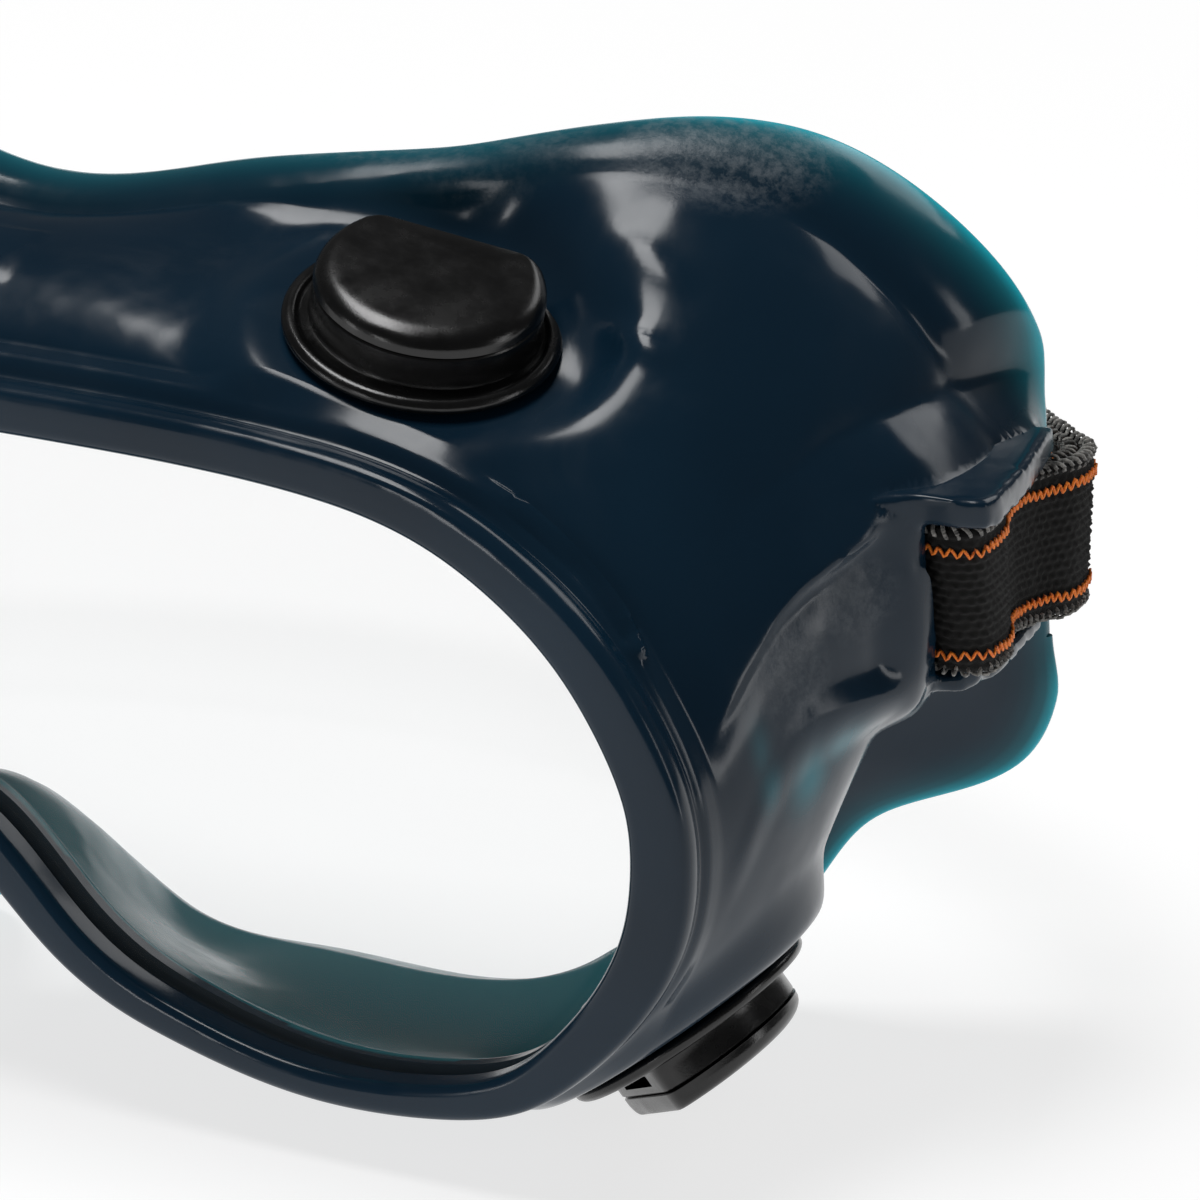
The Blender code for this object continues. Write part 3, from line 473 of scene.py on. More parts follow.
def strap_loop_path(count):
    """Plan path round a bar: outer leg from behind, over the flange edge, round the bar and back inside."""
    r = POST_R + GAP + STRAP_THICK / 2
    outer = [arc_point(BAND_R, math.radians(a)) for a in (39.6, 41.0, 42.4, 43.6, 44.8)]
    outer += [(87.7, 60.5), (88.7, 57.7), (88.7, 55.0), (87.2, 51.6), (86.4, 47.8), (87.0, 43.6), (88.5, 40.0)]
    turn = [(POST_X + r * math.cos(a), POST_Y + r * math.sin(a)) for a in np.radians([0, -36, -72, -108, -144, -180])]
    inner = [(83.85, 40.0), (83.9, 43.6), (84.7, 48.0), (85.6, 52.0), (87.0, 55.2), (87.1, 57.6), (86.2, 59.8)]
    inner += [arc_point(BAND_R - LAYER, math.radians(a)) for a in (44.8, 43.6, 42.4, 41.0, 39.6)]
    return smooth_path(outer + turn + inner, count)


def upright(count, tilt):
    return np.tile(np.array([0.0, -math.sin(tilt), math.cos(tilt)]), (count, 1))


def arc_path(radius, a0, a1, count, side=1.0):
    at = band_frame(side)
    return [at(*arc_point(radius, a), LUG_PIVOT_Z) for a in np.linspace(a0, a1, count)]


def seam_cylinder(radius):
    """Cutter about the bar line, X axis through both bars."""
    frame = (np.array([0.0, LUG_PIVOT_Y, LUG_PIVOT_Z]), np.array([[0.0, 0, 1.0], [1.0, 0, 0], [0, 1.0, 0]]))
    return cylinder(frame, radius, -110.0, 110.0, 96)


# ---------------------------------------------------------------- vents
def d_outline(radius, flat, corner, arc_count=18, shift=0.0):
    """D-shaped plan, its flat at x = flat, with rounded corners; shift moves the round part's centre along x."""
    flat -= shift
    a0 = math.acos(flat / radius) + corner / radius
    pts = [(radius * math.cos(a), radius * math.sin(a)) for a in np.linspace(a0, 2 * math.pi - a0, arc_count)]
    y0 = math.sqrt(radius**2 - flat**2)
    ends = []
    for sign, start in ((-1.0, pts[-1]), (1.0, pts[0])):
        c, e = (flat, sign * y0), (flat, sign * (y0 - corner * 1.3))
        row = []
        for s in (0.35, 0.7, 1.0):
            row.append(tuple((1 - s) ** 2 * start[k] + 2 * s * (1 - s) * c[k] + s * s * e[k] for k in (0, 1)))
        ends.append(row)
    return [(x + shift, y) for x, y in pts + ends[0] + ends[1][::-1]]


def loft(sections, frame):
    """Closed solid through plan outlines of equal count at rising heights [(outline, height)...]."""
    c, f = frame
    n = len(sections[0][0])
    points = [c + f @ np.array([x, y, h]) for outline, h in sections for x, y in outline]
    faces = []
    for i in range(len(sections) - 1):
        for k in range(n):
            m = (k + 1) % n
            faces.append((i * n + k, i * n + m, (i + 1) * n + m, (i + 1) * n + k))
    faces += [tuple(reversed(range(n))), tuple(range((len(sections) - 1) * n, len(sections) * n))]
    return points, faces


def box(frame, lo, hi):
    plan = [(lo[0], lo[1]), (hi[0], lo[1]), (hi[0], hi[1]), (lo[0], hi[1])]
    c, f = frame
    return prism(plan, lo[2], hi[2], lambda x, y, z: c + f @ np.array([x, y, z]))


VENT_BASE_PROFILE = (
    (0.5, -5.0), (7.4, -5.0), (9.2, -3.7), (9.2, -2.9), (VENT_NECK_R, -2.8), (VENT_NECK_R, GAP),
    (12.0, GAP), (VENT_DISC_R, 0.7), (VENT_DISC_R, 1.3), (12.0, 1.75), (11.2, 1.65), (10.6, 1.2), (0.5, 1.2),
)
# height, inset of the round part, shift of its centre, inset of the flat: the rounding is wider in front
LID_STEPS = ((VENT_PARTING + GAP, 0.0, 0.0, 0.0), (5.2, 0.1, 0.05, 0.1), (5.9, 0.6, 0.25, 0.6), (VENT_TOP, 1.7, 0.7, 1.7))




# ================================================================ finer shapes
FINE_COLUMNS = 340
WALL_FINE = 64
FLANGE_FINE = 14


def curve_rows(controls, counts):
    """Rows between successive control rings, rounded by a Catmull-Rom curve through them."""
    c = [2 * controls[0] - controls[1]] + list(controls) + [2 * controls[-1] - controls[-2]]
    out = []
    for i, n in enumerate(counts):
        a, b, d, e = c[i], c[i + 1], c[i + 2], c[i + 3]
        for s in np.linspace(0, 1, n, endpoint=False):
            out.append(0.5 * (2 * b + (d - a) * s + (2 * a - 5 * b + 4 * d - e) * s**2 + (3 * b - a - 3 * d + e) * s**3))
    out.append(c[-2])
    return out


def ray_bump(q, centre, along, length, width):
    """0..1 ridge of a short pinch line: a ridge from centre along a direction."""
    d = q - centre
    s = d @ along
    r = np.sqrt(np.maximum((d * d).sum(1) - s * s, 0))
    return np.exp(-(s / length) ** 2) * np.exp(-(r / width) ** 2)


def segment_distance(q, path):
    """Distance of every point to a polyline and the running position 0..1 of the nearest point."""
    best = np.full(len(q), 1e9)
    where = np.zeros(len(q))
    total = np.concatenate([[0], np.cumsum(np.linalg.norm(np.diff(path, axis=0), axis=1))])
    for i in range(len(path) - 1):
        a, b = path[i], path[i + 1]
        d = b - a
        s = np.clip(((q - a) @ d) / (d @ d), 0, 1)
        r = np.linalg.norm(q - (a + s[:, None] * d), axis=1)
        near = r < best
        best[near] = r[near]
        where[near] = (total[i] + s[near] * np.linalg.norm(d)) / total[-1]
    return best, where


def flatten_wide(p):
    """Eases the wall onto the flat seat under each vent, over a wide border."""
    p = p.copy()
    for which in VENTS:
        for side in (1.0, -1.0):
            c, f = vent_frame(which, side)
            q = (p - c) @ f
            r = np.hypot(q[:, 0], q[:, 1])
            k = (1.0 - smooth(smooth((r - 12.9) / SEAT_BORDER))) * (1.0 - smooth((np.abs(q[:, 2]) - 2.5) / 5.5))
            p -= (k * q[:, 2])[:, None] * f[:, 2]
    return p


def shoulder(q):
    """Swelling of the wall in front of each lug: a sharp upper ridge and a round lower one, with a hollow panel between them."""
    x, y, z = q.T
    top = np.interp(y, *UPPER_RIDGE)
    low = np.interp(y, *LOWER_RIDGE)
    high = (0.35 + (SHOULDER - 0.35) * smooth((y - 12.0) / 19.0)) * smooth((y - 6.5) / 4.0)
    panel = high * (0.30 + 0.70 * smooth((y - 25.5) / 5.0))
    roof = high + 1.6 * smooth((y - 29.0) / 5.0)
    above = roof * np.clip(1.0 - (z - top) / 7.0, 0.0, 1.0)
    shelf = panel + (high - panel) * 0.85
    between = panel + (high - panel) * np.maximum(np.exp(-((top - z) / 0.75) ** 2), 0.85 * np.exp(-((z - low) / 1.7) ** 2))
    below = shelf * (1.0 - smooth((low - z) / 5.5))
    lift = np.where(z > top, above, np.where(z > low, between, below))
    back = np.where(z > top, 51.0, 44.0)
    return lift * (1.0 - smooth((y - back) / 8.0)) * smooth((x - 68.0) / 4.0)


def lug_shapes(side):
    """Hood, shelf and cheek of a lug from the strap's window backwards; in front of it the wall's own swelling carries them."""
    at = lug_frame(side)
    hood = prism([(80.0, 29.4), (84.7, 31.3), (88.5, 31.6), (91.0, 32.6), (91.2, 35.0), (90.0, 44.0), (87.3, 56.5),
                  (84.8, 54.5), (80.2, 44.0), (79.4, 32.0)], HOOD_LOW, HOOD_HIGH, at)
    shelf = prism([(80.2, 28.0), (84.6, 32.6), (87.0, 33.6), (88.0, 40.0), (86.4, 53.0), (84.8, 54.5), (80.3, 43.0),
                   (80.4, 30.0)], SHELF_LOW, SHELF_HIGH, at)
    cheek = prism([(80.4, 27.6), (84.8, 31.2), (85.3, 32.6), (83.2, 34.6), (83.0, 46.0), (80.4, 43.0), (79.9, 30.0)],
                  SHELF_LOW + 0.2, HOOD_HIGH - 0.2, at)
    return [hood, shelf, cheek]


def dress(skin, ribs=None):
    """Small reliefs moulded into the outer skin, in millimetres along its normal."""
    shape = skin.shape
    q = skin.reshape(-1, 3).copy()
    q[:, 0] = np.abs(q[:, 0])
    lift = np.zeros(len(q))
    if ribs is not None:
        for path, height, width, taper in ribs:
            r, s = segment_distance(q, np.array(path, float))
            lift += height * np.exp(-(r / width) ** 2) * smooth(s / taper)
        return lift.reshape(shape[:2])
    lift += shoulder(q)
    for path, height, width, taper in RIBS:
        r, s = segment_distance(q, np.array(path, float))
        ends = smooth(s / taper) * smooth((1 - s) / taper) if taper > 0 else smooth(s / -taper)
        lift += height * np.exp(-(r / width) ** 2) * ends
    for centre, along, length, width, height in PINCHES:
        lift += height * ray_bump(q, np.array(centre), unit(along), length, width)
    # blank label plate at the top middle
    top = (q[:, 2] > 5) & (q[:, 1] > 6)
    plate = smooth((PLATE_X - q[:, 0]) / 0.35) * smooth((q[:, 1] - PLATE_Y[0]) / 0.35) * smooth((PLATE_Y[1] - q[:, 1]) / 0.35)
    lift += 0.28 * plate * top
    # slow unevenness of soft moulded plastic
    lift += 0.10 * np.sin(q[:, 0] * 0.21 + 1.3 * np.sin(q[:, 1] * 0.17)) * np.sin(q[:, 2] * 0.19 + 0.9 * np.cos(q[:, 0] * 0.13)) * smooth(
        (q[:, 1] - 12) / 10)
    return lift.reshape(shape[:2])


def fine_body():
    """Grid of the body: outer skin from the groove over the bezel, wall and flange, then back inside."""
    t = column_stations(FINE_COLUMNS)
    band = band_of(t)
    width, foot = band[:, 0], band[:, 1]
    one = np.ones(len(t))
    controls = [offset_ring(t, -width, GROOVE_FRONT), offset_ring(t, -width, 1.6), offset_ring(t, -width + 0.12, 0.65),
                offset_ring(t, -width + 0.75, 0.10), offset_ring(t, -width * 0.62, 0.0), offset_ring(t, -width * 0.30 - 0.5, 0.0),
                offset_ring(t, -0.75 * one, 0.14), offset_ring(t, -0.22 * one, 0.55), offset_ring(t, 0.0 * one, 1.3),
                offset_ring(t, -0.04 * one, 2.2), offset_ring(t, -0.25 * one, 2.9), offset_ring(t, -0.42 * one + foot * 0.2, 3.5),
                offset_ring(t, foot * 0.62 - 0.25, 4.1), offset_ring(t, foot * 0.9 - 0.08, 4.7)]
    front = curve_rows(controls, [2, 3, 4, 3, 3, 3, 4, 4, 3, 3, 3, 3, 3])[:-1]
    walls = [flatten_wide(r) for r in wall_rows(t, WALL_FINE)]
    crease, edge = ring_crease(t), ring_flange(t)
    blend_rows = curve_rows([front[-1], walls[0]], [4])[1:-1]
    flange = []
    for k in range(1, FLANGE_FINE + 1):
        s = k / FLANGE_FINE
        mid = crease * (1 - s) + edge * s
        mid[:, 1] += 0.9 * math.sin(math.pi * s)
        # the edge gives way a little where the strap passes over it
        mid[:, 0] -= 0.95 * s * smooth((mid[:, 0] - 80.0) / 3.0) * smooth((mid[:, 2] + 28.0) / 6.0) * (1.0 - smooth((mid[:, 2] - 1.0) / 7.0))
        flange.append(mid)
    skin = np.array([mirrored(r) for r in walls + flange])
    normal = grid_normals(skin)
    # the flange leaves the crease steeply and bends back to its edge, except where the strap passes
    for k in range(1, FLANGE_FINE):
        u = k / FLANGE_FINE
        row = WALL_FINE - 1 + k
        z = skin[row, :, 2]
        free = 1.0 - smooth((np.abs(skin[row, :, 0]) - 74.0) / 5.0) * smooth((z + 28.0) / 5.0) * (1.0 - smooth((z - 5.0) / 6.0))
        free = free * smooth((z + 20.0) / 12.0)
        skin[row] += normal[row] * (GUTTER * 3.1 * (1 - u) * u**0.7 * free)[:, None]
    normal = grid_normals(skin)
    # ease the fold at the crease
    for _ in range(1):
        a = skin.copy()
        lo, hi = WALL_FINE - 2, WALL_FINE + 1
        a[lo:hi] = 0.5 * skin[lo:hi] + 0.25 * (skin[lo - 1:hi - 1] + skin[lo + 1:hi + 1])
        skin = a
    thick = np.full(len(skin), WALL)
    thick[WALL_FINE:] = np.linspace(2.0, FLANGE_EDGE, FLANGE_FINE)
    inner = skin - normal * thick[:, None, None]
    inner[:, 0] *= np.array([0.0, 1.0, 1.0])
    inner[:, FINE_COLUMNS] *= np.array([0.0, 1.0, 1.0])
    outer = skin + normal * dress(skin)[:, :, None]
    # rounded flange edge
    mid, half = (outer[-1] + inner[-1]) / 2, (outer[-1] - inner[-1]) / 2
    out = outer[-1] - outer[-2]
    out /= np.linalg.norm(out, axis=1, keepdims=True)
    r = np.linalg.norm(half, axis=1, keepdims=True)
    lip = [mid + half * math.cos(a) + out * r * math.sin(a) for a in np.radians([30, 60, 90, 120, 150])]
    lip = [p - out * r * 0.9 for p in lip]
    outer[-1] -= out * r * 0.9
    inner[-1] -= out * r * 0.9
    back = curve_rows([offset_ring(t, -width * 0.15 - 1.9, REAR_LIP_BACK + 1.0), offset_ring(t, -width * 0.45 - 1.2, REAR_LIP_BACK + 0.5),
                       offset_ring(t, -width * 0.8 - 0.1, REAR_LIP_BACK + 0.1), offset_ring(t, -width + 0.15, REAR_LIP_BACK - 0.25),
                       offset_ring(t, -width + 0.1, REAR_LIP_BACK - 0.8), offset_ring(t, -width + 0.1, GROOVE_BACK)], [3, 3, 3, 3, 2])
    back += [offset_ring(t, -GROOVE_DEPTH * one, GROOVE_BACK), offset_ring(t, -GROOVE_DEPTH * one, GROOVE_FRONT)]
    n_front = len(front) + len(blend_rows)
    face = np.array([mirrored(r) for r in front + blend_rows] + [outer[0], outer[1]])
    face = face + grid_normals(face) * dress(face, BEZEL_RIBS)[:, :, None]
    rings = list(face[:-2]) + list(outer) + lip + [inner[i] for i in range(len(inner) - 1, 0, -1)] + [mirrored(r) for r in back]
    return np.array(rings), n_front, len(outer), len(lip)


def mesh_object(name, points, faces, mat, body, smooth_angle=None):
    mesh = bpy.data.meshes.new(name)
    mesh.from_pydata([tuple(q) for q in place(points)], [], faces)
    mesh.validate()
    outward(mesh)
    obj = bpy.data.objects.new(name, mesh)
    bpy.context.scene.collection.objects.link(obj)
    mesh.materials.append(mat)
    mesh.shade_smooth()
    if smooth_angle:
        mesh.set_sharp_from_angle(angle=math.radians(smooth_angle))
    return obj


def baked(obj):
    """Applies the object's modifiers to its mesh."""
    bpy.context.view_layer.update()
    graph = bpy.context.evaluated_depsgraph_get()
    mesh = bpy.data.meshes.new_from_object(obj.evaluated_get(graph), depsgraph=graph)
    obj.modifiers.clear()
    old = obj.data
    obj.data = mesh
    bpy.data.meshes.remove(old)
    return obj


def scratch(name, shells):
    obj = bpy.data.objects.new(name, joined(name, shells))
    bpy.context.scene.collection.objects.link(obj)
    return obj


def boolean(obj, tool, operation, solver="MANIFOLD"):
    mod = obj.modifiers.new(operation, "BOOLEAN")
    mod.operation, mod.solver, mod.object = operation, solver, tool
    baked(obj)
    return obj


def drop(*objs):
    for obj in objs:
        bpy.data.objects.remove(obj, do_unlink=True)


def coords(mesh):
    co = np.empty(len(mesh.vertices) * 3, np.float32)
    mesh.vertices.foreach_get("co", co)
    return co.reshape(-1, 3).astype(float)


def set_coords(mesh, co):
    mesh.vertices.foreach_set("co", co.astype(np.float32).ravel())
    mesh.update()


def relax(mesh, weight, rounds):
    """Laplacian smoothing of the vertices by weight."""
    edges = np.empty(len(mesh.edges) * 2, np.int32)
    mesh.edges.foreach_get("vertices", edges)
    edges = edges.reshape(-1, 2)
    co = coords(mesh)
    count = np.bincount(edges.ravel(), minlength=len(co)).astype(float)
    w = weight[:, None]
    for _ in range(rounds):
        total = np.zeros_like(co)
        np.add.at(total, edges[:, 0], co[edges[:, 1]])
        np.add.at(total, edges[:, 1], co[edges[:, 0]])
        co = co + w * 0.6 * (total / count[:, None] - co)
    set_coords(mesh, co)


# ================================================================ materials
def new_material(name):
    mat = bpy.data.materials.new(name)
    mat.use_nodes = True
    tree = mat.node_tree
    return mat, tree, tree.nodes["Principled BSDF"]


def node(tree, kind, **values):
    n = tree.nodes.new(kind)
    for key, value in values.items():
        setattr(n, key, value)
    return n


def noise_node(tree, scale, detail=4.0, roughness=0.55, vector=None, distortion=0.0):
    n = node(tree, "ShaderNodeTexNoise")
    n.inputs["Scale"].default_value = scale
    n.inputs["Detail"].default_value = detail
    n.inputs["Roughness"].default_value = roughness
    n.inputs["Distortion"].default_value = distortion
    if vector is not None:
        tree.links.new(vector, n.inputs["Vector"])
    return n


def ramp(tree, source, stops):
    n = node(tree, "ShaderNodeValToRGB")
    elements = n.color_ramp.elements
    while len(elements) > len(stops):
        elements.remove(elements[-1])
    while len(elements) < len(stops):
        elements.new(1.0)
    for e, (at, colour) in zip(elements, stops):
        e.position = at
        e.color = (*colour, 1.0) if len(colour) == 3 else colour
    tree.links.new(source, n.inputs["Fac"])
    return n


def grey(v):
    return (v, v, v)


def mix_colour(tree, fac, a, b, blend="MIX"):
    n = node(tree, "ShaderNodeMix", data_type="RGBA", blend_type=blend)
    if isinstance(fac, (int, float)):
        n.inputs[0].default_value = fac
    else:
        tree.links.new(fac, n.inputs[0])
    for socket, value in ((n.inputs[6], a), (n.inputs[7], b)):
        if isinstance(value, tuple):
            socket.default_value = (*value, 1.0)
        else:
            tree.links.new(value, socket)
    return n.outputs[2]


def maths(tree, operation, a, b=None, clamp=False):
    n = node(tree, "ShaderNodeMath", operation=operation, use_clamp=clamp)
    for socket, value in ((n.inputs[0], a), (n.inputs[1], b)):
        if value is None:
            continue
        if isinstance(value, (int, float)):
            socket.default_value = value
        else:
            tree.links.new(value, socket)
    return n.outputs[0]


def bump(tree, shader, height, strength, distance, normal=None):
    n = node(tree, "ShaderNodeBump")
    n.inputs["Strength"].default_value = strength
    n.inputs["Distance"].default_value = distance
    tree.links.new(height, n.inputs["Height"])
    if normal is not None:
        tree.links.new(normal, n.inputs["Normal"])
    if shader is not None:
        tree.links.new(n.outputs["Normal"], shader.inputs["Normal"])
    return n.outputs["Normal"]


def attribute(tree, name):
    return node(tree, "ShaderNodeAttribute", attribute_name=name).outputs["Fac"]


def pvc_material():
    """Soft navy PVC: glossy skin with dull, dusty patches whose grey tint also paints in a highlight; painted teal
    backlight along the flange edges and on the inner surfaces, where the thin plastic lets light through.
    """
    mat, tree, shader = new_material("navy_pvc_skin")
    where = node(tree, "ShaderNodeTexCoord").outputs["Object"]
    broad = noise_node(tree, 28.0, 3.0, 0.5, where)
    base = ramp(tree, broad.outputs["Fac"], [(0.30, (0.0030, 0.0128, 0.0255)), (0.75, (0.0048, 0.0205, 0.0395))])
    # painted teal backlight on the inner surfaces, much brighter than the navy outside
    inner = mix_colour(tree, attribute(tree, "inside"), base.outputs["Color"], (0.001, 0.165, 0.200))
    # painted teal backlight along the flange edges and in a few spots near the lugs
    glow = mix_colour(tree, attribute(tree, "glow"), inner, (0.010, 0.420, 0.520))
    dust_noise = noise_node(tree, 900.0, 6.0, 0.7, where)
    dust = maths(tree, "MULTIPLY", attribute(tree, "dust"), ramp(tree, dust_noise.outputs["Fac"], [(0.42, grey(0.0)), (0.62, grey(1.0))]).outputs["Color"])
    # grey tint on the dusty patches: partly real dust, partly a painted highlight
    colour = mix_colour(tree, maths(tree, "MULTIPLY", dust, 0.20), glow, (0.35, 0.38, 0.40))
    tree.links.new(colour, shader.inputs["Base Color"])
    patches = noise_node(tree, 60.0, 5.0, 0.6, where, 0.4)
    rough = ramp(tree, patches.outputs["Fac"], [(0.45, grey(0.14)), (0.58, grey(0.24)), (0.66, grey(0.20))])
    rough2 = mix_colour(tree, attribute(tree, "dust"), rough.outputs["Color"], grey(0.40))
    tree.links.new(rough2, shader.inputs["Roughness"])
    fine = noise_node(tree, 2600.0, 3.0, 0.6, where)
    slow = noise_node(tree, 95.0, 2.0, 0.5, where)
    grain = maths(tree, "MULTIPLY", fine.outputs["Fac"], maths(tree, "ADD", maths(tree, "MULTIPLY", attribute(tree, "dust"), 1.4), 0.12))
    first = bump(tree, None, grain, 0.35, 0.00006)
    bump(tree, shader, slow.outputs["Fac"], 0.22, 0.0012, first)
    shader.inputs["IOR"].default_value = 1.5
    shader.inputs["Specular IOR Level"].default_value = 0.30
    return mat


def plastic_material(name="black_satin_plastic", low=0.17, high=0.30, dust_scale=1500.0):
    mat, tree, shader = new_material(name)
    where = node(tree, "ShaderNodeTexCoord").outputs["Object"]
    specks = noise_node(tree, dust_scale, 4.0, 0.7, where)
    base = ramp(tree, specks.outputs["Fac"], [(0.60, (0.0026, 0.0026, 0.0027)), (0.80, (0.010, 0.010, 0.0105))])
    tree.links.new(base.outputs["Color"], shader.inputs["Base Color"])
    patches = noise_node(tree, 240.0, 5.0, 0.6, where)
    rough = ramp(tree, patches.outputs["Fac"], [(0.35, grey(low)), (0.65, grey(high))])
    tree.links.new(rough.outputs["Color"], shader.inputs["Roughness"])
    grain = noise_node(tree, 5200.0, 3.0, 0.6, where)
    bump(tree, shader, grain.outputs["Fac"], 0.16, 0.00008)
    return mat


def lens_material():
    mat, tree, shader = new_material("clear_lens_sheet")
    where = node(tree, "ShaderNodeTexCoord").outputs["Object"]
    haze = noise_node(tree, 120.0, 4.0, 0.6, where)
    tree.links.new(ramp(tree, haze.outputs["Fac"], [(0.4, grey(0.03)), (0.7, grey(0.07))]).outputs["Color"], shader.inputs["Roughness"])
    shader.inputs["Base Color"].default_value = (0.30, 0.34, 0.35, 1.0)
    shader.inputs["Alpha"].default_value = 0.05
    shader.inputs["IOR"].default_value = 1.58
    return mat


def knit_material():
    """Black knitted elastic: matt yarn with lint."""
    mat, tree, shader = new_material("black_knit")
    uv = node(tree, "ShaderNodeUVMap", uv_map="strip").outputs["UV"]
    fibres = noise_node(tree, 5.0, 5.0, 0.7, uv)
    base = ramp(tree, fibres.outputs["Fac"], [(0.35, (0.0026, 0.0025, 0.0024)), (0.62, (0.0075, 0.0072, 0.0066)), (0.82, (0.036, 0.034, 0.031))])
    tree.links.new(base.outputs["Color"], shader.inputs["Base Color"])
    tree.links.new(ramp(tree, fibres.outputs["Fac"], [(0.3, grey(0.78)), (0.7, grey(0.95))]).outputs["Color"], shader.inputs["Roughness"])
    shader.inputs["Specular IOR Level"].default_value = 0.28
    shader.inputs["Sheen Weight"].default_value = 0.06
    shader.inputs["Sheen Roughness"].default_value = 0.5
    hairs = noise_node(tree, 16.0, 4.0, 0.75, uv)
    bump(tree, shader, hairs.outputs["Fac"], 0.7, 0.00025)
    return mat


def thread_material(name, dark, light, scale=9.0, rough=0.6, sheen=0.2):
    mat, tree, shader = new_material(name)
    uv = node(tree, "ShaderNodeUVMap", uv_map="strip").outputs["UV"]
    strands = noise_node(tree, scale, 3.0, 0.6, uv)
    tree.links.new(ramp(tree, strands.outputs["Fac"], [(0.35, dark), (0.65, light)]).outputs["Color"], shader.inputs["Base Color"])
    tree.links.new(ramp(tree, strands.outputs["Fac"], [(0.3, grey(rough)), (0.7, grey(min(1.0, rough + 0.2)))]).outputs["Color"], shader.inputs["Roughness"])
    shader.inputs["Sheen Weight"].default_value = sheen
    twist = node(tree, "ShaderNodeTexWave", wave_type="BANDS", bands_direction="DIAGONAL")
    twist.inputs["Scale"].default_value = 3.0
    tree.links.new(uv, twist.inputs["Vector"])
    bump(tree, shader, twist.outputs["Fac"], 0.5, 0.0001)
    return mat


def floor_material():
    mat, tree, shader = new_material("pale_floor")
    where = node(tree, "ShaderNodeTexCoord").outputs["Object"]
    n = noise_node(tree, 2.0, 2.0, 0.5, where)
    tree.links.new(ramp(tree, n.outputs["Fac"], [(0.3, grey(0.34)), (0.7, grey(0.36))]).outputs["Color"], shader.inputs["Base Color"])
    shader.inputs["Roughness"].default_value = 0.9
    shader.inputs["Specular IOR Level"].default_value = 0.1
    shader.inputs["Emission Color"].default_value = (1.0, 1.0, 1.0, 1.0)
    shader.inputs["Emission Strength"].default_value = 0.74
    return mat


